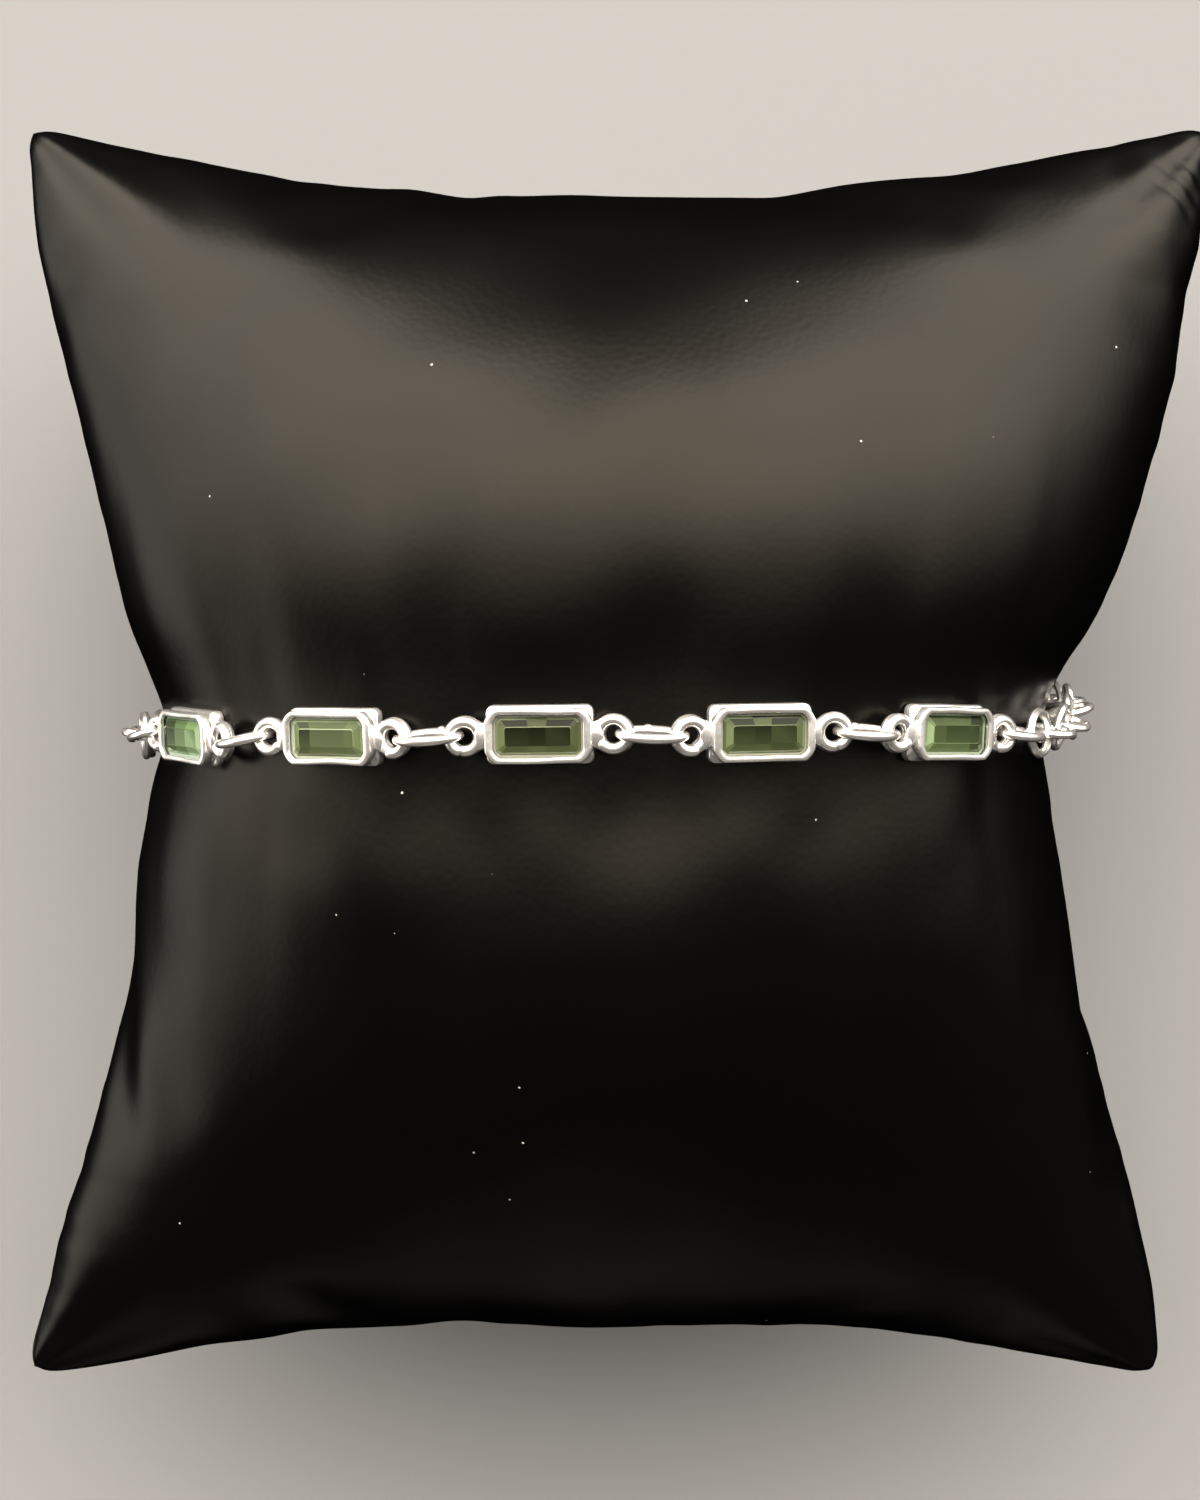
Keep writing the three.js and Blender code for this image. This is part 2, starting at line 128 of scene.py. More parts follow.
def make_mesh(name, points, squares, material, smooth_angle=40):
    """A mesh object from points and squares, with doubles merged and faces outwards."""
    mesh = plain_mesh(name, points, squares.tolist())
    loose = bmesh.new()
    loose.from_mesh(mesh)
    bmesh.ops.remove_doubles(loose, verts=loose.verts, dist=1e-7)
    bmesh.ops.dissolve_degenerate(loose, edges=loose.edges, dist=1e-8)
    bmesh.ops.recalc_face_normals(loose, faces=loose.faces)
    loose.to_mesh(mesh)
    loose.free()
    mesh.materials.append(material)
    mesh.shade_smooth()
    mesh.set_sharp_from_angle(angle=math.radians(smooth_angle))
    return shown(name, mesh)


def stands_for(made, slot, *nodes):
    """A finished piece: it rides on the one body and stands for its CAD nodes; slot is not used."""
    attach(made, "root")
    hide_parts(*nodes)
    print(made.name, "faces:", len(made.data.polygons), "stands for", ", ".join(nodes))


# %% [markdown]
# ## Small unevenness
#
# Nothing soldered, burnished or stuffed by hand is exact. A few sine waves in random directions,
# added up, give a smooth field that never repeats, and one seed for each use keeps every run
# the same.

# %% Directions, waves and wires
def unit(vectors):
    """The same directions, each one unit long."""
    return vectors / np.linalg.norm(vectors, axis=-1, keepdims=True)


def full_turn(count):
    """Angles at even steps once round a circle."""
    return np.linspace(0, 2 * np.pi, count, endpoint=False)


def ramp(value, start, width):
    """How far a value has come up a ramp of this start and width: 0 before it and 1 after."""
    return np.clip((value - start) / width, 0, 1)


def waves(points, length, seed, count=7):
    """A smooth random field of about unit size: sines of random direction and near this length."""
    rng = np.random.default_rng(seed)
    direction = unit(rng.normal(size=(count, 3)))
    pace = 2 * np.pi / (length * rng.uniform(0.7, 1.5, count))
    phase = rng.uniform(0, 2 * np.pi, count)
    return np.sin(points @ (direction * pace[:, None]).T + phase).sum(-1) / math.sqrt(count / 2)


def ellipse(half_length, half_width, steps):
    """Points round an ellipse in X-Y."""
    angle = full_turn(steps)
    return np.stack([half_length * np.cos(angle), half_width * np.sin(angle), 0 * angle], -1)


def tube(path, radius, sides=12, closed=True):
    """A round wire along a flattish path in X-Y: circles on the tangent's cross product with Z."""
    tangent = unit(np.roll(path, -1, 0) - np.roll(path, 1, 0) if closed
                   else np.gradient(path, axis=0))
    beside = unit(np.cross(tangent, [0, 0, 1]))
    upward = np.cross(beside, tangent)
    angle = full_turn(sides)[None, :, None]
    size = np.broadcast_to(radius, len(path))[:, None, None]
    ring = np.cos(angle) * beside[:, None] + np.sin(angle) * upward[:, None]
    return shell(path[:, None] + size * ring, closed)


def round_ended(path, radius, steps=4):
    """An open wire's path and radii with a round end: radius times sin of 0 to 90 degrees."""
    angle = np.linspace(0, np.pi / 2, steps + 1)[:-1]
    ahead = (radius * np.cos(angle))[:, None]
    start = path[0] + unit(path[0] - path[1]) * ahead
    end = path[-1] + unit(path[-1] - path[-2]) * ahead[::-1]
    sizes = [radius * np.sin(angle), np.full(len(path), radius), radius * np.sin(angle)[::-1]]
    return np.concatenate([start, path, end]), np.concatenate(sizes)


def blob(middle, half_sizes, seed, rough=0.06, rings=14, sides=20):
    """A drop of solder: an ellipsoid of these half sizes, swollen here and there by waves."""
    lift = np.linspace(-np.pi / 2, np.pi / 2, rings)[:, None]
    turn = full_turn(sides)[None, :]
    ball = np.stack([np.cos(lift) * np.cos(turn), np.cos(lift) * np.sin(turn),
                     np.sin(lift) + 0 * turn], -1)
    ball *= (1 + rough * waves(ball, 1.6, seed))[..., None]
    return shell(middle + ball * half_sizes)


# %% [markdown]
# ## Reading places from the CAD pieces
#
# A stone or link lies at some slant, so its box does not say how it is turned. Its own surface
# does: the directions in which a symmetric piece is longest, middling and shortest are its axes.
# Each triangle counts by its area, so it does not matter how the faces were cut into triangles.

# %% Frames of slanted pieces
def triangles(node):
    """A CAD node's triangles in millimetres, as an array of three corners each."""
    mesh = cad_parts[node].data
    mesh.calc_loop_triangles()
    corners = np.empty(len(mesh.loop_triangles) * 3, np.int32)
    mesh.loop_triangles.foreach_get("vertices", corners)
    return points_of(mesh)[corners.reshape(-1, 3)]


def own_axes(node):
    """The area-weighted middle of a node's surface and its axes, longest first, as three rows."""
    corner = triangles(node)
    area = np.linalg.norm(np.cross(corner[:, 1] - corner[:, 0], corner[:, 2] - corner[:, 0]), axis=1)
    middle = (area[:, None] * corner.mean(1)).sum(0) / area.sum()
    corner = corner - middle
    centre = corner.mean(1)
    spread = np.einsum("t,tci,tcj->ij", area, corner, corner)
    spread += 9 * np.einsum("t,ti,tj->ij", area, centre, centre)
    return middle, np.linalg.eigh(spread)[1].T[::-1]


def towards(axis, direction):
    """The axis or its opposite, whichever points the way that is given."""
    return axis * np.sign(axis @ np.asarray(direction, float))


def placed(made, origin, along, outward):
    """A shell moved from the origin: its X and Z become these, and its Y is their cross product."""
    points, squares = made
    return origin + points @ np.array([along, np.cross(outward, along), outward]), squares


# %% [markdown]
# ## The loop
#
# The bracelet runs round the pillow's pinched waist on two half ellipses, the higher one in
# front. These are the driving sizes of the CAD source. The pillow's lowest corner ties that
# source's own origin to this frame.

# %% Sizes shared with the CAD source
LOOP_HALF_WIDTH, LOOP_RISE, LOOP_DROP = 34.3, 28.3, 20.0
CHAIN_WIDTH, FLOOR_GAP = 3.5, 0.35
LOOP_LEVEL = FLOOR_GAP + CHAIN_WIDTH / 2 + LOOP_DROP
PILLOW_TOP, PILLOW_BOTTOM, PILLOW_LEFT = 44.0, -50.3, -44.5
DRIFT = np.array([
    # turn in degrees, how far the loop strays along Y there
    (-180, 0), (-90, -1.2), (-56, -0.7), (-31, -0.35), (-7, 0), (16, 0.05),
    (42, -0.2), (60, -0.5), (92, 1.1), (180, 0),
])

pillow_low = np.array(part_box("display_pillow")[0]) / MM
home = pillow_low - np.array([PILLOW_LEFT, PILLOW_BOTTOM, 0])
loop_centre = home + np.array([0, 0, LOOP_LEVEL])
print("loop centre, mm:", loop_centre.round(2))


def eased(table, place, column=1, steep=False):
    """A table's column between its rows: a cubic, level at each row or as steep as around it."""
    at, value = table[:, 0], table[:, column]
    slope = np.gradient(value, at) * steep
    above = np.clip(np.searchsorted(at, place), 1, len(at) - 1)
    below = above - 1
    gap = at[above] - at[below]
    t = (place - at[below]) / gap
    start = (2 * t ** 3 - 3 * t ** 2 + 1) * value[below]
    start += (t ** 3 - 2 * t ** 2 + t) * gap * slope[below]
    return start + (3 * t ** 2 - 2 * t ** 3) * value[above] + (t ** 3 - t ** 2) * gap * slope[above]


def loop_point(turn):
    """The loop at a turn in degrees from its top towards +X: half width x sine, height x cosine."""
    angle = np.radians(turn)
    height = np.where(np.cos(angle) > 0, LOOP_RISE, LOOP_DROP) * np.cos(angle)
    drift = eased(DRIFT, (np.asarray(turn) + 180) % 360 - 180)
    return home + np.stack([LOOP_HALF_WIDTH * np.sin(angle), drift, LOOP_LEVEL + height], -1)


def turn_of(point):
    """The turn at which a point lies, from its place about the loop's centre."""
    x, _, z = point - loop_centre
    height = LOOP_RISE if z > 0 else LOOP_DROP
    return math.degrees(math.atan2(x / LOOP_HALF_WIDTH, z / height))


# %% [markdown]
# ## Finishes
#
# Three finishes make the piece: polished sterling silver, clear peridot-coloured stone and black
# polyurethane leatherette. Each is one Principled shader with a few nodes in front of it. Colours
# are written as the eye knows them and turned to linear light by one function.

# %% Colour and node helpers
def linear(code):
    """An sRGB colour code as linear red, green, blue and a full alpha."""
    shares = [int(code[place:place + 2], 16) / 255 for place in (1, 3, 5)]
    return [c / 12.92 if c <= 0.04045 else ((c + 0.055) / 1.055) ** 2.4 for c in shares] + [1.0]


def add_node(tree, kind, settings=None, links=None):
    """A shader node of this kind, its properties, input values and incoming links set by name."""
    node = tree.nodes.new("ShaderNode" + kind)
    for name, value in (settings or {}).items():
        if isinstance(name, int) or name in node.inputs:
            node.inputs[name].default_value = value
        else:
            setattr(node, name, value)
    for name, output in (links or {}).items():
        tree.links.new(output, node.inputs[name])
    return node


def new_finish(name):
    """An empty node material and its tree, ready for its shader."""
    material = bpy.data.materials.new(name)
    material.use_nodes = True
    material.node_tree.nodes.clear()
    return material, material.node_tree


def noise(tree, place, size, detail):
    """Smooth noise with lumps about this many millimetres across."""
    return add_node(tree, "TexNoise", {"Scale": 1 / (size * MM), "Detail": detail},
                    {"Vector": place}).outputs["Fac"]


def add_shader(tree, settings, links=None):
    """The finish's one Principled shader, joined to the material's output."""
    shader = add_node(tree, "BsdfPrincipled", settings, links)
    add_node(tree, "OutputMaterial", links={"Surface": shader.outputs["BSDF"]})


# %% [markdown]
# ## Polished silver
#
# Sterling silver that was polished on a wheel and then worn: nearly white, mirror-like, yet
# never quite even. A soft wobble of about a millimetre bends the reflections as a burnished wall
# does, and finer scratches spread the highlights a little.

# %% Silver
SILVER_WOBBLE, SILVER_SCRATCH = 1.3, 0.16


def polished_silver():
    """Wheel-polished sterling silver: bright soft-edged highlights over faint dark streaks."""
    material, tree = new_finish("sterling_silver_polished")
    place = add_node(tree, "TexCoord").outputs["Object"]
    wobble = noise(tree, place, SILVER_WOBBLE, 2.0)
    scratch = noise(tree, place, SILVER_SCRATCH, 3.0)
    rough = add_node(tree, "MapRange", {"To Min": 0.16, "To Max": 0.26},
                     {"Value": scratch})
    soft = add_node(tree, "Bump", {"Strength": 0.35, "Distance": 0.06 * MM},
                    {"Height": wobble})
    fine = add_node(tree, "Bump", {"Strength": 0.15, "Distance": 0.01 * MM},
                    {"Height": scratch, "Normal": soft.outputs["Normal"]})
    add_shader(tree, {"Base Color": linear("#f8f5f1"), "Metallic": 0.86},
               {"Roughness": rough.outputs["Result"], "Normal": fine.outputs["Normal"]})
    return material


silver = polished_silver()


def silver_piece(name, made, node, smooth_angle=40):
    """A finished silver piece from its shell, in place of its CAD node."""
    stands_for(make_mesh(name, *made, silver, smooth_angle), "polished_silver", node)


# %% [markdown]
# ## The stones' finish
#
# The stones are clear and pale yellow-green. In a real stone light goes in through the flat
# table, bounces off the steps underneath and comes out tinted, so each facet shows its own
# lightness: one is deep olive where the light escapes below, and its neighbour is pale green
# where it comes back. Here that light and shade is painted. A quarter of the shader is real
# refraction, and the rest is a base colour with each facet's lightness painted in. An attribute
# on the stone's facets holds that painted colour and how far light goes through it.

# %% Stone
# The facet attribute of painted light and shade, with the share of refraction as its alpha.
PAINTED_LIGHT_ATTRIBUTE = "painted_facet_light"


def peridot_stone():
    """Cut and polished peridot: clear and green, with painted light where a step throws the light back."""
    material, tree = new_finish("peridot_polished")
    # The base colour is painted light and shade, one level per facet; its alpha is the share of refraction.
    tone = add_node(tree, "Attribute", {"attribute_name": PAINTED_LIGHT_ATTRIBUTE})
    add_shader(tree, {"Roughness": 0.012, "IOR": 1.6, "Specular IOR Level": 0.05},
               {"Base Color": tone.outputs["Color"], "Transmission Weight": tone.outputs["Alpha"]})
    return material


peridot = peridot_stone()

# %% [markdown]
# ## Leatherette
#
# The pillow's cover is polyurethane leatherette: knitted cloth with a calendered skin. It is
# nearly black, with a warm grey sheen where light rakes it, because its fine pebbled grain
# scatters the shine. Handling has left it duller in places and dusted with lint.

# %% Leatherette
GRAIN, SOFT_PATCH = 0.5, 14.0
LINT, LINT_APART = 0.1, 4.6


def black_leatherette():
    """Calendered black leatherette: broad warm sheen, fine pebble grain, faint handled patches."""
    material, tree = new_finish("leatherette_calendered")
    place = add_node(tree, "TexCoord").outputs["Object"]
    pebble = add_node(tree, "TexVoronoi",
                      {"feature": "SMOOTH_F1", "Scale": 1 / (GRAIN * MM), "Smoothness": 0.6},
                      {"Vector": place})
    rough = add_node(tree, "MapRange", {"To Min": 0.24, "To Max": 0.29},
                     {"Value": noise(tree, place, SOFT_PATCH, 3.0)})
    grain = add_node(tree, "Bump", {"Strength": 0.12, "Distance": 0.05 * MM},
                     {"Height": pebble.outputs["Distance"]})
    crumb = add_node(tree, "TexVoronoi", {"Scale": 1 / (LINT_APART * MM)},
                     {"Vector": place})
    lint = add_node(tree, "MapRange",
                    {"From Min": 0.6 * LINT / LINT_APART, "From Max": LINT / LINT_APART,
                     "To Min": 1.0, "To Max": 0.0}, {"Value": crumb.outputs["Distance"]})
    colour = add_node(tree, "Mix",
                      {"data_type": "RGBA", 6: linear("#030303"), 7: linear("#b9b5ad")},
                      {"Factor": lint.outputs["Result"]})
    add_shader(tree, {"IOR": 1.5, "Specular IOR Level": 0.134, "Specular Tint": linear("#fff7e1")},
               {"Base Color": colour.outputs[2], "Roughness": rough.outputs["Result"],
                "Normal": grain.outputs["Normal"]})
    return material


leatherette = black_leatherette()

# %% [markdown]
# ## Settings
#
# Each setting is a strip of silver bent into a rectangle, with a second wall rubbed over the edge
# of the stone. One closed section runs round a rectangle with rounded corners: up the base frame,
# into the groove, up the upper wall, over the rim and down inside. Every row of the table is one
# place on that section, with its own half length, half width and corner size, and cutting its
# corners twice rounds the bends as burnishing does.

# %% The setting's wall
EYE_LEVEL = 0.95
WALL = np.array([
    # half length, half width, corner along, corner across, height
    (2.55, 1.05, 0.20, 0.20, 0.00),
    (3.28, 1.77, 0.42, 0.42, 0.00),
    (3.40, 1.87, 0.50, 0.50, 0.12),
    (3.41, 1.88, 0.50, 0.50, 0.40),
    (3.38, 1.85, 0.50, 0.50, 0.72),
    (3.20, 1.68, 0.46, 0.46, 0.80),
    (3.22, 1.66, 0.56, 0.62, 0.88),
    (3.36, 1.72, 0.66, 0.76, 1.04),
    (3.38, 1.74, 0.70, 0.82, 1.30),
    (3.36, 1.73, 0.70, 0.82, 1.60),
    (3.30, 1.68, 0.68, 0.80, 1.72),
    (3.16, 1.57, 0.62, 0.72, 1.75),
    (2.94, 1.42, 0.50, 0.56, 1.74),
    (2.83, 1.34, 0.44, 0.48, 1.69),
    (2.84, 1.35, 0.44, 0.48, 1.46),
    (3.08, 1.56, 0.50, 0.60, 1.36),
    (3.08, 1.56, 0.50, 0.60, 1.00),
    (2.60, 1.10, 0.30, 0.30, 0.45),
])
CORNER_STEPS, SIDE_STEPS, CORNER_CUT = 9, 15, 0.45
GROOVE_LEVEL, CUT_RISE, BEND_RISE = 0.8, 0.2, 0.5
BEND, BEND_LEAST = [0.012, 0.016, 0.016], 0.4


def cut_corners(rows, share, closed=True):
    """Each corner becomes two, a share of the way along its sides. An open one keeps its ends."""
    after = np.roll(rows, -1, 0)
    pairs = np.stack([rows + share * (after - rows), after + share * (rows - after)], 1)
    cut = pairs.reshape(-1, rows.shape[1])
    return cut if closed else np.concatenate([rows[:1], cut[1:-3], rows[-1:]])


def rectangle_round(section):
    """Points round each row's rectangle: each corner part way from an ellipse to a straight cut."""
    half_x, half_y, corner_x, corner_y, height = section.T[:, :, None, None]
    quarter = np.radians(90 * np.arange(4))[None, :, None]
    angle = quarter + np.linspace(0, np.pi / 2, CORNER_STEPS)[None, None, :]
    side_x = np.array([1, -1, -1, 1])[None, :, None]
    side_y = np.array([1, 1, -1, -1])[None, :, None]
    arc = np.stack([side_x * (half_x - corner_x) + corner_x * np.cos(angle),
                    side_y * (half_y - corner_y) + corner_y * np.sin(angle),
                    height + 0 * angle], -1)
    step = np.linspace(0, 1, CORNER_STEPS)[:, None]
    chord = arc[:, :, :1] + (arc[:, :, -1:] - arc[:, :, :1]) * step
    arc = arc + (chord - arc) * CORNER_CUT * ramp(height[..., None], GROOVE_LEVEL, CUT_RISE)
    part = np.linspace(0, 1, SIDE_STEPS + 1)[1:-1, None]
    start, end = arc[:, :, -1, None], np.roll(arc, -1, 1)[:, :, 0, None]
    straight = start + (end - start) * part
    return np.concatenate([arc, straight], 2).reshape(len(section), -1, 3)


def setting_wall(seed):
    """The wall of one setting, its rectangle a little out of true as hand-bent strip is."""
    section = cut_corners(cut_corners(WALL, 0.22), 0.22)
    points = rectangle_round(section) - [0, 0, EYE_LEVEL]
    upper = ramp(points[..., 2], GROOVE_LEVEL - EYE_LEVEL, BEND_RISE)
    bend = np.stack([waves(points, 4.5, seed), waves(points, 3.5, seed + 1),
                     waves(points * [1, 1, 0], 3.8, seed + 2)], -1)
    return shell(points + bend * BEND * (BEND_LEAST + upper[..., None]), True)


# %% [markdown]
# ## Eyes and solder
#
# At each end of a setting a wire is wound twice into a small eye and soldered on. The eye is a
# helix, so its two turns and one cut end show, and a flattened drop of solder fills the joint.

# %% Eyes
SETTING_SPAN = 9.4
EYE_WIRE, EYE_HOLE, EYE_PITCH, EYE_SLIP = 0.74, 1.12, 0.40, 0.1
EYE_MIDDLE = (EYE_HOLE + EYE_WIRE) / 2
EYE_WIND, EYE_START, EYE_STRAY = np.radians([700, -60, 40])


def squared_off(wave, power):
    """A sine or cosine with fuller shoulders: its size to a power below one, with its sign."""
    return np.sign(wave) * np.abs(wave) ** power


def eye(side, seed):
    """Two turns of wire: a circle that climbs by one pitch and slips a little sideways meanwhile."""
    start = EYE_START + EYE_STRAY * math.sin(2.1 * seed)
    turn = np.linspace(start, start + EYE_WIND, 64)
    share = (turn - start) / EYE_WIND - 0.5
    slip = EYE_SLIP * share[:, None] * [math.cos(1.7 * seed), math.sin(1.7 * seed)]
    flat = EYE_MIDDLE * np.stack([np.cos(turn), np.sin(turn)], -1) + slip
    path, wire = round_ended(np.concatenate([flat, EYE_PITCH * share[:, None]], 1), EYE_WIRE / 2)
    points, squares = tube(path, wire, closed=False)
    return points * [-side, 1, 1] + [side * SETTING_SPAN / 2, 0.02 * side, 0], squares


NECK = np.array([
    # place along, half width, half height
    (3.05, 0.00, 0.00), (3.05, 0.66, 0.42), (3.35, 0.80, 0.52),
    (3.48, 0.80, 0.52), (3.62, 0.88, 0.52), (3.78, 0.96, 0.50),
    (3.94, 0.88, 0.44), (4.05, 0.60, 0.34), (4.08, 0.00, 0.00),
])
NECK_SQUARE, NECK_ROUGH = 0.75, 0.02


def neck(side, seed, sides=24):
    """Solder drawn into the corner of wall and eye: rounded boxes of the table's sizes."""
    angle = full_turn(sides)[None, :]
    middle_rows = cut_corners(cut_corners(NECK[1:-1], 0.25, False), 0.25, False)
    rows = np.concatenate([NECK[:1], middle_rows, NECK[-1:]])
    at, half_width, half_height = rows.T[:, :, None]
    points = np.stack([at + 0 * angle, half_width * squared_off(np.cos(angle), NECK_SQUARE),
                       half_height * squared_off(np.sin(angle), NECK_SQUARE)], -1)
    points += NECK_ROUGH * waves(points, 1.4, seed)[..., None] * (half_width[..., None] > 0)
    return shell(points * [side, 1, 1])


def setting_frame(stone):
    """Origin and axes of a setting from its stone: X along, Z out of the loop, at eye level."""
    middle, axes = own_axes(stone)
    along = towards(axes[0], [1, 0, 0])
    outward = towards(axes[2], middle - loop_centre)
    top = (triangles(stone).reshape(-1, 3) @ outward).max()
    return middle + outward * (top - (TABLE_LEVEL - EYE_LEVEL) - middle @ outward), along, outward


TABLE_LEVEL = 1.66
settings = [setting_frame(f"stone_{number}") for number in range(1, 6)]
for number, lie in enumerate(settings, 1):
    made = joined([setting_wall(10 * number)]
                  + [eye(side, number + side) for side in (-1, 1)]
                  + [neck(side, 10 * number + side) for side in (-1, 1)])
    silver_piece(f"bezel_{number}", placed(made, *lie), f"setting_{number}", 50)

# %% [markdown]
# ## Stones
#
# A step cut is a pile of eight-sided outlines: a flat table, two sloping steps down to the
# widest line, and steps below it that narrow to a keel. Its edges are crisp, so every face stays
# flat. The steps below the widest line throw light back, and their pattern shows from above as
# facets of unlike lightness, with a bright line just inside the silver. That light is painted
# into the colour: each long side is split into three, a table of painted light levels says how
# light each part of each step looks, and the band just above the widest line is painted bright.

# %% Step-cut stones
STONE = np.array([
    # half length, half width, corner, height
    (1.56, 0.06, 0.03, 0.20),
    (2.12, 0.62, 0.14, 0.50),
    (2.58, 1.08, 0.24, 0.84),
    (2.96, 1.44, 0.40, 1.18),
    (2.96, 1.44, 0.40, 1.24),
    (2.70, 1.19, 0.29, 1.37),
    (2.52, 1.02, 0.22, 1.46),
    (2.10, 0.61, 0.12, 1.64),
    (2.06, 0.57, 0.10, 1.66),
])
SIDES_OF_STONE = 12
# Bands of facets counted up from the keel; the first above the widest line is painted as a bright line.
GLOW, OUTER_STEP, INNER_STEP, TABLE_EDGE = 4, 5, 6, 7
# Painted light levels: the plain level of the other facets, the bright line's level and its share of the outer
# step.
PLAIN_PAINTED_LEVEL, PAINTED_GLOW_LEVEL, PAINTED_GLOW_SHARE = 0.3, 1.25, 0.35
# Colours of painted light, from deep olive shade through pale green to a white painted highlight, and their
# levels.
PAINTED_LEVEL_STOPS = [0.0, 0.5, 1.0, 1.6]
PAINTED_LIGHT_COLOURS = ["#11150a", "#7f8f64", "#d3e6bd", "#ffffff"]
# How bright each stone's painted light is, in red, green and blue, as light falls on that stone.
PAINTED_LIGHT_PER_STONE = np.array([(0.57, 0.68, 0.62), (0.66, 0.66, 0.63), (0.50, 0.47, 0.43),
                        (0.49, 0.48, 0.43), (0.51, 0.56, 0.47)])
SHINE, DULL = 0.25, 0.02
SPLITS = np.array([(-0.45, 0.30), (-0.62, 0.72), (-0.30, 0.26), (-0.34, 0.20), (-0.50, 0.62)])
PAINTED_FACET_LEVELS = np.array([
    # Painted light levels of each stone's facets, from 0 for deep shade up to 1 for pale green:
    # outer step, then inner step: at -X, at +X, three at +Y and three at -Y from -X to +X;
    # then the table's edge at +Y and -Y, and its left, middle and right part, each at +Y and -Y
    [(0.60, 1.00, 0.30, 0.50, 0.65, 0.80, 0.62, 0.90),
     (0.08, 0.80, 0.10, 0.30, 0.50, 0.35, 0.50, 0.66),
     (0.30, 0.80, 0.07, 0.22, 0.34, 0.45, 0.32, 0.62)],
    [(0.98, 0.62, 0.62, 0.55, 0.60, 0.34, 0.34, 0.36),
     (0.50, 0.46, 0.10, 0.20, 0.28, 0.26, 0.34, 0.36),
     (0.90, 0.30, 0.06, 0.14, 0.21, 0.26, 0.24, 0.28)],
    [(0.66, 0.42, 0.55, 0.38, 0.60, 0.50, 0.47, 0.52),
     (0.52, 0.30, 0.04, 0.20, 0.03, 0.34, 0.42, 0.36),
     (0.66, 0.18, 0.03, 0.08, 0.02, 0.06, 0.03, 0.08)],
    [(0.46, 0.68, 0.42, 0.10, 0.12, 0.55, 0.47, 0.46),
     (0.60, 0.44, 0.06, 0.24, 0.04, 0.36, 0.38, 0.28),
     (0.52, 0.28, 0.06, 0.16, 0.04, 0.13, 0.08, 0.16)],
    [(0.68, 0.66, 0.12, 0.15, 0.04, 0.50, 0.46, 0.34),
     (0.84, 0.18, 0.18, 0.20, 0.05, 0.46, 0.48, 0.24),
     (0.30, 0.98, 0.22, 0.25, 0.12, 0.20, 0.08, 0.16)],
])


def stone_points(number):
    """Each row's outline with its corners cut and its two long sides split into three."""
    half_x, half_y, corner, height = STONE.T[:, :, None]
    left, right = SPLITS[number - 1]
    reach = np.array([1, 1, right, left, -1, -1, -1, -1, left, right, 1, 1])
    on_end = np.array([1, 0, 0, 0, 0, 1, 1, 0, 0, 0, 0, 1])
    side_y = np.repeat([1, -1], SIDES_OF_STONE // 2)
    x = reach * (half_x - corner * (1 - on_end))
    y = side_y * (half_y - corner * on_end)
    return np.stack([x, y, height - EYE_LEVEL + 0 * x], -1)


def painted_step_levels(left, right, far_left, far, far_right, near_left, near, near_right):
    """Painted light levels of a step's twelve facets in order: a cut corner is half way between its sides."""
    return [(right + far_right) / 2, far_right, far, far_left, (left + far_left) / 2, left,
            (left + near_left) / 2, near_left, near, near_right, (right + near_right) / 2, right]


def painted_facet_levels(number):
    """A painted light level for each facet corner: one for a whole facet, and a slope along the table."""
    outer, inner, (far_edge, near_edge, *table) = PAINTED_FACET_LEVELS[number - 1]
    bands = np.full((len(STONE) - 1, SIDES_OF_STONE), PLAIN_PAINTED_LEVEL)
    bands[OUTER_STEP], bands[INNER_STEP] = painted_step_levels(*outer), painted_step_levels(*inner)
    # The band just above the widest line: a painted bright line, brighter beside a lighter outer step.
    bands[GLOW] = PAINTED_GLOW_LEVEL + PAINTED_GLOW_SHARE * bands[OUTER_STEP]
    middle = (far_edge + near_edge) / 2
    bands[TABLE_EDGE] = painted_step_levels(middle, middle, *[far_edge] * 3, *[near_edge] * 3)
    # The table's painted light slopes from its far side to its near side, in each of three parts.
    left_far, left_near, far, near, right_far, right_near = table
    cells = [right_near, right_near, right_far, right_far, right_far, right_near,
             far, far, near, near, left_far, left_far, left_far, left_near, left_near, left_near]
    return np.concatenate([np.repeat(bands.ravel(), 4), np.full(SIDES_OF_STONE, PLAIN_PAINTED_LEVEL), cells])


def make_stone(number, lie):
    """One stone with flat faces, a closed keel and a table in three parts."""
    points, steps = placed(shell(stone_points(number)), *lie)
    keel = list(range(SIDES_OF_STONE))[::-1]
    last = len(points) - SIDES_OF_STONE
    table = [[last + step for step in part]
             for part in ((9, 10, 11, 0, 1, 2), (2, 3, 8, 9), (3, 4, 5, 6, 7, 8))]
    mesh = plain_mesh(f"cut_stone_{number}", points, steps.tolist() + [keel] + table)
    # Painted light colours: each level on the ramp, scaled for this stone. Alpha is the share of real
    # refraction, nearly none on the inner step's far facets, so their painted shade shows.
    stops = np.array([linear(colour) for colour in PAINTED_LIGHT_COLOURS])
    stops[:, :3] *= PAINTED_LIGHT_PER_STONE[number - 1]
    painted_levels = painted_facet_levels(number)
    colours = np.stack([np.interp(painted_levels, PAINTED_LEVEL_STOPS, channel) for channel in stops.T], -1)
    colours[:, 3] = SHINE
    colours[:steps.size].reshape(-1, SIDES_OF_STONE, 4, 4)[INNER_STEP, 1:4, :, 3] = DULL
    corners = mesh.color_attributes.new(PAINTED_LIGHT_ATTRIBUTE, "FLOAT_COLOR", "CORNER")
    corners.data.foreach_set("color", colours.ravel())
    mesh.materials.append(peridot)
    stands_for(shown(f"cut_stone_{number}", mesh), "peridot_stone", f"stone_{number}")


for number, lie in enumerate(settings, 1):
    make_stone(number, lie)

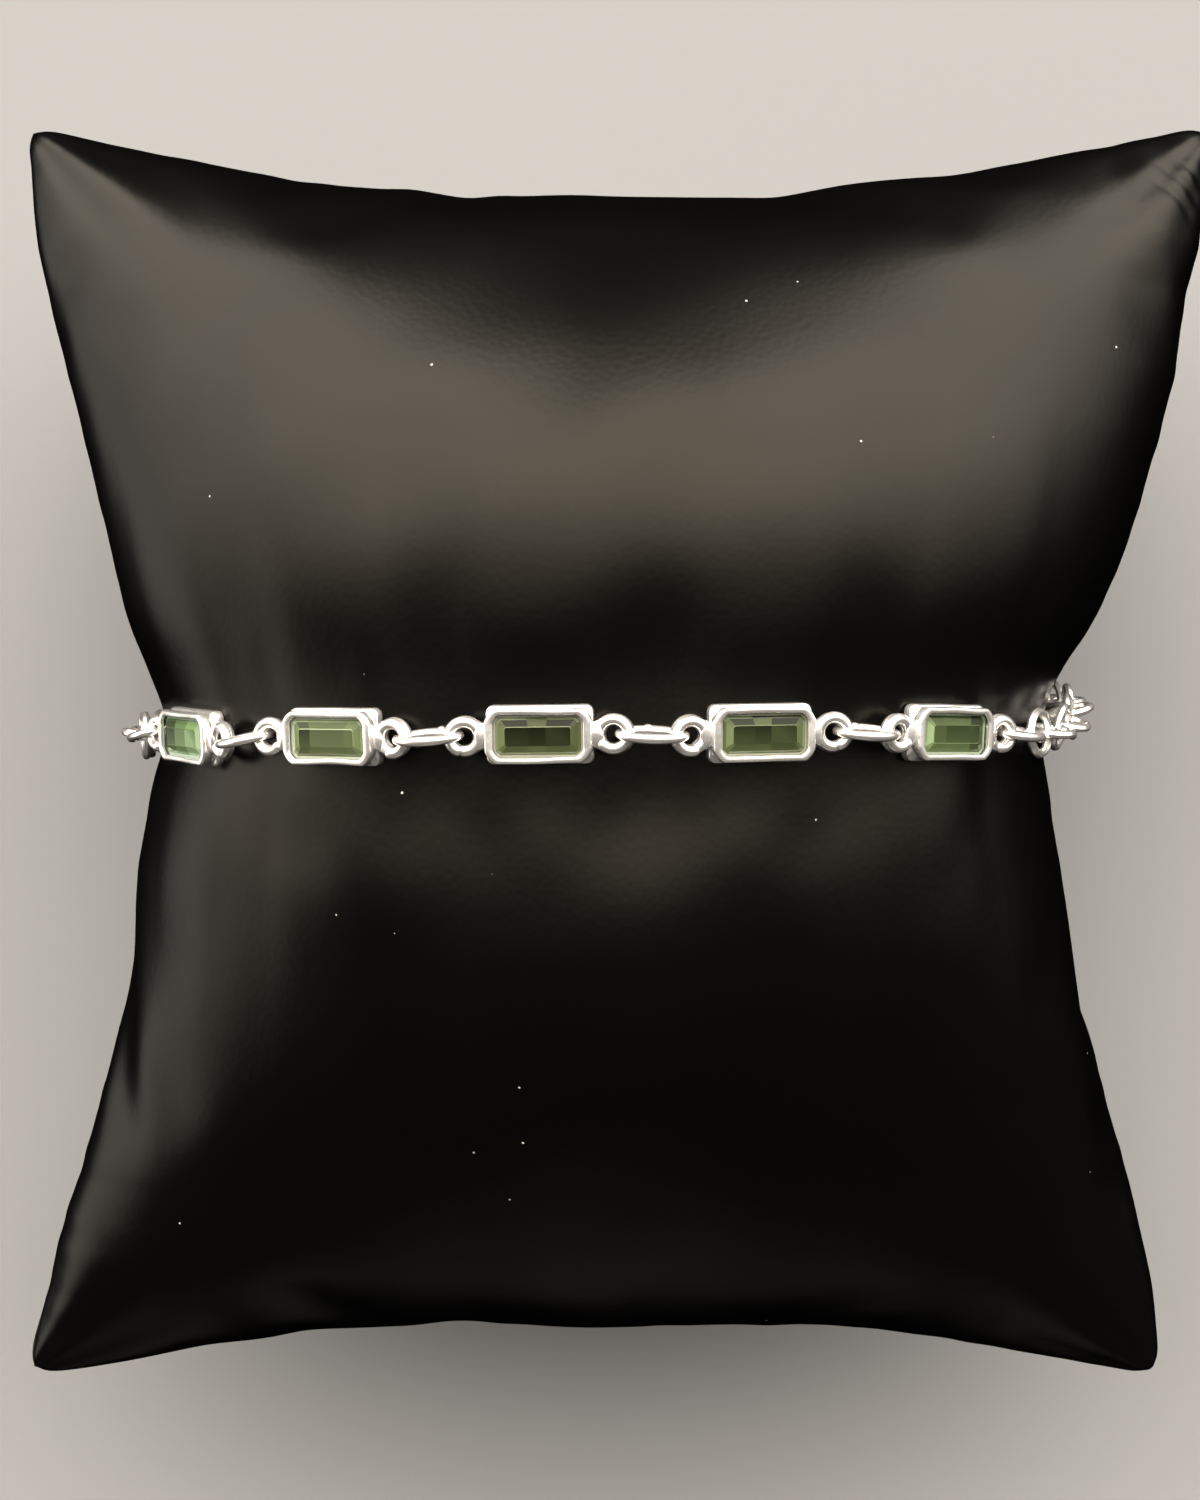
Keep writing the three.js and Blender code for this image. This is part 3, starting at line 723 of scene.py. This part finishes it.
# %% [markdown]
# ## Long links
#
# Each long link is an oval of round wire, closed by a drop of solder on its side. It stands on
# edge, leaning enough to show both strands.

# %% Links
LINK_WIRE, LINK_WIDTH, LINK_SPAN = 0.55, 3.2, 4.75
LINK_HALF = (LINK_SPAN - 2 * EYE_MIDDLE) / 2 + (EYE_WIRE + LINK_WIRE) / 2
LINK_THIN, LINK_SWELL, LINK_STEPS = 0.94, 0.28, 56
DROP, DROP_STRAY = [0.4, 0.4, 0.42], 0.45


def oval_wire(half_width):
    """An oval of wire, its strands hammered thicker half way along: radius + a sine squared."""
    swell = LINK_THIN + LINK_SWELL * np.sin(full_turn(LINK_STEPS)) ** 2
    return tube(ellipse(LINK_HALF, half_width, LINK_STEPS), LINK_WIRE / 2 * swell, 14)


half_width = (LINK_WIDTH - LINK_WIRE) / 2
for number in range(1, 7):
    middle, axes = own_axes(f"long_link_{number}")
    along, hole = towards(axes[0], [1, 0, 0]), towards(axes[2], [0, 1, 0])
    lean = math.degrees(math.asin(unit(middle - loop_centre) @ hole))
    print("link", number, "leans, degrees:", round(lean, 1))
    stray = waves(np.array([[number, 0.0, 0.0]]), 2.0, 3)[0]
    joint = blob([DROP_STRAY * stray, half_width, 0], DROP, number)
    made = placed(joined([oval_wire(half_width), joint]), middle, along, hole)
    silver_piece(f"oval_link_{number}", made, f"long_link_{number}")

# %% [markdown]
# ## Cable chain
#
# Behind the stones the bracelet is a cable chain of round rings, each turned a quarter from the
# last. Rings stand along the loop at even steps of the loop's own length, and the step is just
# short of a ring's inner width, so that neighbours touch as on a chain pulled tight.

# %% Chains
RING_WIDTH, RING_WIRE, RING_LEAN = 3.5, 0.6, 14
RING_RADIUS = (RING_WIDTH - RING_WIRE) / 2
RING_STEP = RING_WIDTH - 2 * RING_WIRE


def stations(from_turn, to_turn):
    """Centres, directions and outward directions of rings at even steps of length on the loop."""
    turn = np.linspace(from_turn, to_turn, 2000)
    line = loop_point(turn)
    length = np.concatenate([[0], np.cumsum(np.linalg.norm(np.diff(line, axis=0), axis=1))])
    count = math.ceil(length[-1] / RING_STEP) + 1
    at = np.interp(np.linspace(0, length[-1], count), length, turn)
    centre = loop_point(at)
    along = unit(loop_point(at + 0.5) - loop_point(at - 0.5))
    outward = centre - loop_centre
    return centre, along, unit(outward - (outward * along).sum(1, keepdims=True) * along)


def ring_chain(from_turn, to_turn, seed):
    """One round ring at each station, flat and upright by turns, with a little random lean."""
    rng = np.random.default_rng(seed)
    ring = tube(ellipse(RING_RADIUS, RING_RADIUS, 24), RING_WIRE / 2, 8)
    shells = []
    for step, (centre, along, outward) in enumerate(zip(*stations(from_turn, to_turn))):
        across = np.cross(outward, along)
        lean = math.radians(90 * (step % 2) + rng.uniform(-RING_LEAN, RING_LEAN))
        hole = math.cos(lean) * outward + math.sin(lean) * across
        shells.append(placed(ring, centre, along, hole))
    return joined(shells), len(shells)


def chain_turns(node):
    """The turns at which a CAD chain tube starts and ends, from its own points."""
    turns = [turn_of(spot) % 360 for spot in triangles(node).reshape(-1, 3)]
    return min(turns), max(turns)


def ring_turn_beside(node, side):
    """The turn of the ring that hangs in the outer end of a long link: their wires just touch."""
    middle, axes = own_axes(node)
    reach = LINK_HALF + RING_RADIUS - (RING_WIRE + LINK_WIRE) / 2
    return turn_of(middle + side * towards(axes[0], [1, 0, 0]) * reach) % 360


chain_ends = {"right": (ring_turn_beside("long_link_6", 1), chain_turns("chain_right")[1]),
              "left": (ring_turn_beside("long_link_1", -1), chain_turns("chain_left")[0])}
for seed, (side, (first, last)) in enumerate(chain_ends.items()):
    made, count = ring_chain(first, last, seed)
    silver_piece(f"ring_chain_{side}", made, f"chain_{side}")
    print(f"rings on the {side}:", count, "between turns", round(first, 1), round(last, 1))

# %% [markdown]
# ## Clasp and catch ring
#
# A lobster clasp closes the bracelet under the pillow: a cast body that curves round an open
# hook, a thumb lever in its side and a small ring at its tail. The body is one thick oval whose
# section changes as it goes round, so it is worked out like a ring with a varying wire.

# %% Clasp
CLASP_LENGTH, CLASP_WIDTH, CLASP_THICK = 7.8, 4.4, 1.5
HOOK_LENGTH, HOOK_WIDTH, HOOK_PLACE = 4.6, 1.9, 0.9
TAIL_RADIUS, TAIL_HOLE = 1.3, 0.65
CATCH_RADIUS, CATCH_WIRE, CLASP_SQUARE = 1.4, 0.7, 0.8


def clasp_body(turns=72, sides=18):
    """A ring between two ellipses: half way from one to the other, with the gap as its width."""
    angle = full_turn(sides)[:, None]
    outer = ellipse(CLASP_LENGTH / 2, CLASP_WIDTH / 2, turns)[:, None]
    inner = ellipse(HOOK_LENGTH / 2, HOOK_WIDTH / 2, turns)[:, None] + [HOOK_PLACE, 0, 0]
    points = inner + (outer - inner) * (0.5 + 0.5 * squared_off(np.cos(angle), CLASP_SQUARE))
    return shell(points + [0, 0, CLASP_THICK / 2] * squared_off(np.sin(angle), CLASP_SQUARE), True)


def clasp_parts():
    """The body, the tail's ring, the thumb lever and the pin that it turns on."""
    tail_wire = (TAIL_RADIUS - TAIL_HOLE) / 2
    tail = ellipse(TAIL_HOLE + tail_wire, TAIL_HOLE + tail_wire, 40)
    tail -= [(CLASP_LENGTH + TAIL_RADIUS) / 2, 0, 0]
    thumb = blob([-0.9, -CLASP_WIDTH / 2 - 0.1, 0], [0.55, 0.42, 0.5], 5, rough=0.03)
    arm = blob([0.6, -CLASP_WIDTH / 2 + 0.35, 0], [2.1, 0.42, 0.42], 6, rough=0.02)
    pin = blob([-1.9, 0, 0], [0.42, 0.42, CLASP_THICK / 2 + 0.08], 7, rough=0)
    return joined([clasp_body(), tube(tail, tail_wire, 10), thumb, arm, pin])


def clasp_frame():
    """The clasp's origin and axes. Its tail pulls its middle back from the body's own centre."""
    middle, axes = own_axes("clasp")
    outward = towards(axes[2], middle - loop_centre)
    along = towards(axes[0], own_axes("catch_ring")[0] - middle)
    reach = (triangles("clasp").reshape(-1, 3) @ along).max()
    return middle + along * (reach - CLASP_LENGTH / 2 - middle @ along), along, outward


silver_piece("lobster_clasp", placed(clasp_parts(), *clasp_frame()), "clasp")
middle, axes = own_axes("catch_ring")
made = tube(ellipse(CATCH_RADIUS, CATCH_RADIUS, 40), CATCH_WIRE / 2)
silver_piece("closing_ring", placed(made, middle, axes[0], axes[2]), "catch_ring")

# %% [markdown]
# ## The pillow
#
# Two panels of leatherette are sewn together face to face, turned and stuffed. A stuffed panel
# stands highest in its middle and falls steeply at the seam, and its ends pull in between the
# corners. Tied round the waist, it also dips to the bracelet and gathers there. Each panel is one
# grid over its width and length: the height is a dome along the length times a crown across it,
# less the pinch at the waist.

# %% The pillow's form
PINCH_BAND, WAIST_REACH = 2.4, 8.0
TOP_BOW, BOTTOM_BOW = 0.135, 0.105
SOFT_Y, SOFT_X = 0.1, 0.16
# full: a panel's height at its fullest. top, bottom: how its dome bulges and falls to that end.
# sharp: how much steeper it falls near the sides. fade: the pinch's width. pointed, steep: how
# the crown across it turns pointed and steep, off the waist and then, late, at the ends.
# thin: what its far and near corners lose.
FRONT_FORM = {"full": 28.7, "top": (1.21, 0.55), "bottom": (1.6, 0.52), "sharp": 0.28, "fade": 16.0,
              "pointed": (0.39, 1.04), "steep": (0.1, 0.1), "late": 3.9, "thin": (0.16, 0.5)}
BACK_FORM = {"full": 24.6, "top": (2.6, 0.62), "bottom": (2.6, 0.62), "sharp": 0.0, "fade": 6.9,
             "pointed": (0.0, 0.0), "steep": (0.0, -0.3), "late": 2.0, "thin": (0.0, 0.0)}
SIDES = np.array([
    # place along Y, half width to the left, half width to the right
    (-50.3, 44.5, 42.4), (-42.0, 42.1, 40.8), (-33.0, 39.1, 38.5), (-25.0, 36.5, 36.0),
    (-17.0, 34.9, 34.0), (-10.0, 34.3, 32.9), (-5.0, 33.6, 32.5), (0.0, 32.6, 32.1),
    (3.0, 33.5, 33.1), (6.5, 34.6, 35.0), (12.0, 35.9, 37.2), (20.0, 37.9, 39.6),
    (32.0, 40.9, 42.6), (44.0, 43.3, 45.1),
])
COLUMNS, ROWS = 221, 261
BLUNT_FROM, BLUNT_WIDTH, BLUNT_SIDE, BLUNT_END = 0.93, 0.07, 0.016, 0.014
SETTING_REST, LINK_REST = 1.02, 1.7
REST_TURN, REST_EASE = 7.6, 1.3
setting_turns = np.array([turn_of(lie[0]) for lie in settings])


def grid_shares():
    """Places across and along a panel from -1 to 1, closer together towards its edges: sines."""
    across, along = (np.sin(np.linspace(-np.pi / 2, np.pi / 2, count)) for count in (COLUMNS, ROWS))
    return across[None, :], along[:, None]


def half_outline(x, y):
    """Half the pillow's width at a place along it, on the side that x is on."""
    return np.where(x < 0, eased(SIDES, y, 1, True), eased(SIDES, y, 2, True))


def rest_depth(u):
    """How far under the loop the cover lies: near the settings' backs, deeper under the links."""
    turn = np.degrees(np.arcsin(np.clip(u, -1, 1)))
    near = np.abs(turn[..., None] - setting_turns).min(-1)
    held = 1 / (1 + np.exp((near - REST_TURN) / REST_EASE))
    return LINK_REST + (SETTING_REST - LINK_REST) * held


def softened(value, width):
    """A value rounded off near 0, yet 1 at 1: root of value squared + width squared, less width."""
    return (np.sqrt(value ** 2 + width ** 2) - width) / (math.sqrt(1 + width ** 2) - width)


def panel(front, full, top, bottom, sharp, fade, pointed, steep, late, thin):
    """A panel's plain form. Height: a dome along Y, pinched at the waist, times a crown across X."""
    u, part = grid_shares()
    y = np.where(part > 0, part * PILLOW_TOP, -part * PILLOW_BOTTOM)
    share = np.abs(part)
    waist = (LOOP_RISE if front else LOOP_DROP) - (rest_depth(u) if front else LINK_REST)
    power, fall = (np.where(part > 0, *pair) for pair in zip(top, bottom))
    dome = (1 - softened(share, SOFT_Y) ** power) ** (fall - sharp * u ** 4)
    pinch = np.exp(-(np.maximum(0, np.abs(y) - PINCH_BAND) / fade) ** 2)
    near = np.exp(-(y / WAIST_REACH) ** 2)
    away = near * np.abs(u) + (1 - near) * (softened(u, SOFT_X) if front else np.abs(u))
    point = 2 - pointed[0] * (1 - near) - pointed[1] * share
    end = share ** late
    root = 0.5 - steep[0] * (1 - near) * (1 - end) - steep[1] * end
    crown = np.maximum(0, 1 - away ** point) ** root
    thinned = 1 - np.where(part > 0, *thin) * (np.abs(u) * share) ** 3.2
    rise = (full * dome * (1 - pinch) + waist * pinch) * crown * thinned
    blunt = 1 - BLUNT_SIDE * ramp(share, BLUNT_FROM, BLUNT_WIDTH) ** 3
    bow = np.where(y > 0, TOP_BOW, BOTTOM_BOW)
    along = y * (1 - bow * (1 - u ** 2) * share ** 4)
    along = along * (1 - BLUNT_END * ramp(np.abs(u), BLUNT_FROM, BLUNT_WIDTH) ** 3 * share ** 8)
    z = LOOP_LEVEL + (rise if front else -rise)
    return np.stack([half_outline(u, y) * blunt * u, along, z], -1), rise


# %% [markdown]
# ## Stuffing the cover
#
# The drawn form is too calm: stuffing pushes a real cover out, and where seam and bracelet hold
# it, it wrinkles. Blender's cloth solver finds those wrinkles. A coarse copy of both panels,
# scaled up so that the solver's tolerances suit it, is joined along the seam, held there and at
# the waist, cut a little too large, and blown up by pressure. The form already has the slow
# swell, so only the quick wrinkles are kept, and few of them in the stiff pointed corners. They
# are carried back to the fine grid, and the copy is removed.

# %% Cloth simulation
SIM_STEP, SIM_SCALE, SIM_FRAMES = 2, 10.0, 20
SIM_CLOTH = {"quality": 6, "mass": 0.3, "tension_stiffness": 20, "compression_stiffness": 20,
             "shear_stiffness": 8, "bending_stiffness": 6.0, "pin_stiffness": 1,
             "use_pressure": True, "uniform_pressure_force": 3.0, "shrink_min": -0.008}
WAIST_HOLD, WAIST_LOOSE, UNDERSIDE, UNDERSIDE_HOLD = 2.6, 3.5, 0.3, 0.6
WRINKLE_CAP, CALM_PASSES, SOFT_PASSES = 0.5, 70, 3
CORNER_CALM, CORNER_FROM, CORNER_WIDTH = 0.85, 0.45, 0.3


def sewn_copy(front, back):
    """Both panels as one mesh that shares its edge: points, squares, point numbers and the edge."""
    rows, columns = front.shape[:2]
    count = rows * columns
    number = np.arange(count).reshape(rows, columns)
    edge = np.pad(np.zeros((rows - 2, columns - 2), bool), 1, constant_values=True)
    other = np.where(edge, number, number + count)
    used, place = np.unique(np.concatenate([number.ravel(), other.ravel()]), return_inverse=True)
    points = np.concatenate([front.reshape(-1, 3), back.reshape(-1, 3)])[used]
    squares = grid_squares(rows, columns)
    return points, np.concatenate([place[squares], place[squares + count][:, ::-1]]), place, edge


def hold(body, weights):
    """A vertex group of these weights, in ten steps."""
    group = body.vertex_groups.new(name="held")
    tenths = (weights * 10).round()
    for tenth in np.unique(tenths)[1:]:
        group.add(np.flatnonzero(tenths == tenth).tolist(), float(tenth / 10), "REPLACE")
    return group.name


def blown_up(points, squares, held):
    """Where the points stand once the stuffing's pressure has worked on them for all frames."""
    mesh = plain_mesh("stuffing_test", points * SIM_SCALE, squares.tolist())
    body = shown("stuffing_test", mesh)
    cloth = body.modifiers.new("cloth", "CLOTH")
    cloth.collision_settings.use_collision = False
    for name, value in SIM_CLOTH.items():
        setattr(cloth.settings, name, value)
    cloth.settings.effector_weights.gravity = 0
    cloth.settings.vertex_group_mass = hold(body, held)
    for step in range(1, SIM_FRAMES + 1):
        bpy.context.scene.frame_set(step)
    shaped = body.evaluated_get(bpy.context.evaluated_depsgraph_get()).to_mesh()
    places = points_of(shaped) / SIM_SCALE
    bpy.data.objects.remove(body)
    bpy.data.meshes.remove(mesh)
    bpy.context.scene.frame_set(1)
    return places


def calmed(field, passes):
    """A grid field smoothed by passes of the weights 1, 2, 1 both ways, with its edge held at 0."""
    for axis in (0, 1) * passes:
        field = np.moveaxis(field, axis, 0)
        inside = (field[:-2] + 2 * field[1:-1] + field[2:]) / 4
        field = np.moveaxis(np.pad(inside, ((1, 1), (0, 0), (0, 0))), 0, axis)
    return field


def refined(field):
    """A field on a grid twice as fine: new points are 9/16 of the next two less 1/16 beyond."""
    for axis in (0, 1):
        field = np.moveaxis(field, axis, 0)
        wide = np.concatenate([field[:1], field, field[-1:]])
        between = (9 * (wide[1:-2] + wide[2:-1]) - wide[:-3] - wide[3:]) / 16
        fine = np.empty((2 * len(field) - 1,) + field.shape[1:])
        fine[::2], fine[1::2] = field, between
        field = np.moveaxis(fine, 0, axis)
    return field


def wrinkles(panels):
    """How the stuffing moves both panels off their drawn form, without the slow swell."""
    coarse = [points[::SIM_STEP, ::SIM_STEP] for points in panels]
    points, squares, place, edge = sewn_copy(*coarse)
    held = 1 - ramp(np.abs(points[:, 1]), WAIST_HOLD, WAIST_LOOSE)
    held = np.maximum(held, UNDERSIDE_HOLD * (points[:, 2] < UNDERSIDE))
    held[place[:edge.size][edge.ravel()]] = 1
    moved = (blown_up(points, squares, held) - points)[place].reshape((2,) + edge.shape + (3,))
    corner = ramp(np.abs(np.multiply(*grid_shares())), CORNER_FROM, CORNER_WIDTH)[..., None]
    found = []
    for field in moved:
        quick = refined(calmed(field - calmed(field, CALM_PASSES), SOFT_PASSES))
        length = np.linalg.norm(quick, axis=-1, keepdims=True)
        capped = quick * np.minimum(1, WRINKLE_CAP / np.maximum(length, 1e-9))
        found.append(capped * (1 - CORNER_CALM * corner))
        print("cloth moved, mm:", np.abs(field).max().round(2),
              "longest wrinkle:", length.max().round(2))
    return found


# %% [markdown]
# ## Puckers and dents
#
# A seam is shorter than the cloth beside it, so the cover puckers along it, and the ends of those
# puckers run together as folds at the corners. The bracelet gathers the waist in the same way.
# Each of these is a height over the plain form: a wave along the seam that dies away from it.
# Broad shallow dents lie over the whole cover, and three short creases cross its upper right
# corner where it was bent.

# %% The cover's small relief
SEAM_LIP, SEAM_ROUND, SEAM_FADE, SEAM_CALM = 0.45, 0.6, 3, 1.2
SIDE_PUCKER, SIDE_FADE, END_PUCKER, END_FADE = 0.09, 5.5, 0.08, 5.0
GATHER, GATHER_FROM, GATHER_RISE, GATHER_FADE = 0.018, 1.5, 2, 6.5
FAN, FAN_AWAY, FAN_WIDTH = 0.14, 9, 7
BROAD_DENT, SMALL_DENT = 0.12, 0.04
CORNERS = [(-43.3, 44.0), (45.1, 44.0), (42.4, -50.3), (-44.5, -50.3)]
CREASES = [(41.6, 38.6, 2.3), (40.7, 37.6, 2.0), (42.7, 39.4, 1.6)]
CREASE_WIDTH, CREASE_DEPTH = 0.35, 0.1


def relief(points, rise, front):
    """Millimetres to raise the cover: seam lip + puckers + waist gathers + corner folds + dents."""
    x, y = points[..., 0], points[..., 1]
    half = half_outline(x, y.clip(PILLOW_BOTTOM, PILLOW_TOP))
    from_side = np.hypot(half - np.abs(x), rise)
    end = np.where(y > 0, PILLOW_TOP, -PILLOW_BOTTOM)
    end = end * (1 - np.where(y > 0, TOP_BOW, BOTTOM_BOW) * np.clip(1 - (x / half) ** 2, 0, 1))
    from_end = np.hypot(end - np.abs(y), rise)
    seed = 20 if front else 40
    up, over, flat = points * [0, 1, 0], points * [1, 0, 0], points * [1, 1, 0]
    along_side = waves(up + [seed, 0, 0], 6.5, seed) + 0.5 * waves(up, 2.7, seed + 1)
    along_end = waves(over, 7.5, seed + 2) + 0.5 * waves(over, 3.1, seed + 3)
    swell = 0.7 + 0.5 * waves(flat, 28, seed + 4)
    high = SIDE_PUCKER * along_side * swell * np.exp(-from_side / SIDE_FADE)
    high += END_PUCKER * along_end * swell * np.exp(-from_end / END_FADE)
    gather = waves(flat * [1, 0.12, 0], 5.0, seed + 5)
    gather += 0.6 * waves(flat * [1, 0.1, 0], 2.4, seed + 6)
    reach = np.clip(np.abs(y) - GATHER_FROM, 0, None)
    high += GATHER * gather * (1 - np.exp(-reach / GATHER_RISE)) * np.exp(-reach / GATHER_FADE)
    for number, corner in enumerate(CORNERS):
        away = np.stack([x - corner[0], y - corner[1]], -1)
        distance = np.linalg.norm(away, axis=-1)
        bearing = np.arctan2(away[..., 1], away[..., 0])
        fan = np.sin(bearing * 9 + number * 1.7 + 0.08 * distance)
        fan += 0.5 * np.sin(bearing * 17 + number)
        high += FAN * fan * np.exp(-((distance - FAN_AWAY) / FAN_WIDTH) ** 2)
    high += BROAD_DENT * waves(points, 30, seed + 7) + SMALL_DENT * waves(points, 12, seed + 8)
    for crease_x, crease_y, length in CREASES if front else []:
        right, above = x - crease_x, y - crease_y
        run, off = (right - above) / math.sqrt(2), (right + above) / math.sqrt(2)
        high -= CREASE_DEPTH * np.exp(-(off / CREASE_WIDTH) ** 2 - (run / length) ** 4)
    near_seam = np.minimum(from_side, from_end)
    high *= 1 - np.exp(-near_seam / SEAM_CALM)
    lip = 1 - np.exp(-near_seam / SEAM_ROUND) - np.exp(-near_seam / SEAM_FADE)
    return high + SEAM_LIP * lip


def cover(front, points, rise, moved):
    """A panel with its wrinkles, and its relief along its normal, square to both grid directions."""
    points = points + moved
    normal = np.cross(np.gradient(points, axis=1), np.gradient(points, axis=0))
    normal /= np.maximum(np.linalg.norm(normal, axis=-1, keepdims=True), 1e-9)
    raised = relief(points, rise, front) * (1 if front else -1)
    raised = np.pad(raised[1:-1, 1:-1], 1)
    return points + normal * raised[..., None]


LIE_LEVEL = 0.02


def pillow_shell():
    """Both panels, sewn at their shared edge; the back one is flattened where it lies."""
    forms = [panel(True, **FRONT_FORM), panel(False, **BACK_FORM)]
    plain = [points for points, _ in forms]
    plain[1][..., 2] = np.maximum(plain[1][..., 2], LIE_LEVEL)
    front, back = (cover(side == 0, plain[side], forms[side][1], moved)
                   for side, moved in enumerate(wrinkles(plain)))
    back[..., 2] = np.maximum(back[..., 2], LIE_LEVEL)
    squares = grid_squares(*front.shape[:2])
    return joined([(front.reshape(-1, 3) + home, squares),
                   (back.reshape(-1, 3) + home, squares[:, ::-1])])


pillow = make_mesh("stuffed_pillow", *pillow_shell(), leatherette, 60)
stands_for(pillow, "pillow_cover", "display_pillow")

# %% [markdown]
# ## Floor
#
# The piece lies on a plain pale table. Polished leather and silver would mirror it as a wash of
# grey, so it is kept out of reflections.

# %% Floor
FLOOR_REACH = 3000.0
paint, paint_tree = new_finish("table_paint_pale")
add_shader(paint_tree,
           {"Base Color": linear("#868686"), "Roughness": 0.9, "Specular IOR Level": 0.05})
corners = FLOOR_REACH * np.array([(-1, -1, 0), (1, -1, 0), (1, 1, 0), (-1, 1, 0)])
floor = shown("table_top", plain_mesh("table_top", corners, [(0, 1, 2, 3)]))
floor.data.materials.append(paint)
floor.visible_glossy = False
floor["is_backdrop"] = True

# %% [markdown]
# ## Light
#
# A tall soft window stands beyond the pillow's upper end, and its sheen runs across the upper
# half. The room is dim: a weaker glow comes from the left, a faint one from the near end, and
# next to nothing from below. A small lamp beyond the upper end adds sparkle. The camera itself
# sees a pale wall instead of the window.

# %% Light
WINDOW, ROOM = 11.0, 0.08
LEFT_GLOW, NEAR_GLOW = 0.2 * WINDOW, 0.02 * WINDOW
WALL_COLOUR, DAYLIGHT, LAMPLIGHT = "#d8d2c9", "#fbf4ea", "#fff6ec"


def aim(made, place, target):
    """Puts a lamp or camera at a place in metres and turns it to look at a target, +Y upward."""
    back = (Vector(place) - Vector(target)).normalized()
    right = Vector((0, 1, 0)).cross(back).normalized()
    made.matrix_world = Matrix([right, back.cross(right), back]).transposed().to_4x4()
    made.location = place


def soft_room():
    """The room's light by direction: the window and its edges, the glows and the pale wall."""
    world = bpy.data.worlds.new("soft_room")
    world.use_nodes = True
    tree = world.node_tree
    tree.nodes.clear()
    place = add_node(tree, "TexCoord").outputs["Generated"]
    way = add_node(tree, "SeparateXYZ", links={"Vector": place}).outputs

    def fade(axis, start, stop, top=1.0):
        """A smooth step of the direction's share along an axis, from nothing to a top level."""
        return add_node(tree, "MapRange",
                        {"interpolation_type": "SMOOTHSTEP", "From Min": start, "From Max": stop,
                         "To Max": top}, {"Value": way[axis]}).outputs["Result"]

    def together(operation, *values):
        """Values added or multiplied one after another."""
        total = values[0]
        for value in values[1:]:
            total = add_node(tree, "Math", {"operation": operation},
                             {0: total, 1: value}).outputs["Value"]
        return total

    window = together("MULTIPLY", fade("Y", -0.2, 1.0, WINDOW), fade("Y", 0.97, 0.9),
                      fade("Z", -0.3, 0.35))
    light = together("ADD", window, fade("X", -0.8, -1.0, LEFT_GLOW),
                     fade("Y", -0.88, -1.0, NEAR_GLOW), fade("Z", -0.6, 0.1, ROOM))
    room = add_node(tree, "Background", {"Color": linear(DAYLIGHT)}, {"Strength": light})
    wall = add_node(tree, "Background", {"Color": linear(WALL_COLOUR)})
    seen = add_node(tree, "LightPath").outputs["Is Camera Ray"]
    either = add_node(tree, "MixShader", links={
        0: seen, 1: room.outputs["Background"], 2: wall.outputs["Background"]})
    add_node(tree, "OutputWorld", links={"Surface": either.outputs["Shader"]})
    return world


lamp = bpy.data.lights.new("light_far_end", "AREA")
lamp.shape, lamp.size, lamp.size_y = "RECTANGLE", 1.1, 0.3
lamp.energy, lamp.color = 1.0, linear(LAMPLIGHT)[:3]
aim(shown("light_far_end", lamp), (0.0, 0.62, 0.66), (0, 0, 0.03))
bpy.context.scene.world = soft_room()
bpy.context.scene.view_settings.view_transform = "Standard"

# %% [markdown]
# ## Camera
#
# The camera looks down on the stones, a few degrees off square towards the upper end. The top
# of the middle setting tells it how high the stones stand.

# %% Camera
LENS, SENSOR = 51.62, 36.0
DISTANCE, TILT = 133.0, 3.0
VIEW_MIDDLE = np.array([-0.86, 2.25])

camera_data = bpy.data.cameras.new("camera")
camera_data.lens, camera_data.sensor_width = LENS, SENSOR
camera_data.clip_start, camera_data.clip_end = 0.01, 20
camera = shown("camera", camera_data)
stone_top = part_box("setting_3")[1].z / MM
middle = (cad_bounds[0] + cad_bounds[1]) / 2 / MM
look_at = np.array([middle.x + VIEW_MIDDLE[0], middle.y + VIEW_MIDDLE[1], stone_top])
lean = math.radians(TILT)
stand = look_at + DISTANCE * np.array([0, math.sin(lean), math.cos(lean)])
aim(camera, stand * MM, look_at * MM)
bpy.context.scene.camera = camera
print("camera at, mm:", stand.round(1), "looking at", look_at.round(1))

# %% [markdown]
# ## Finish
#
# The model's box is kept from before and after, so that both can be compared.

# %% Print the sizes and finish
sizes = {"cad": [list(corner) for corner in cad_bounds], "visual": [list(corner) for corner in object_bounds()]}
for name, corners in sizes.items():
    print(name, "box, mm:", [[round(value / MM, 1) for value in corner] for corner in corners])
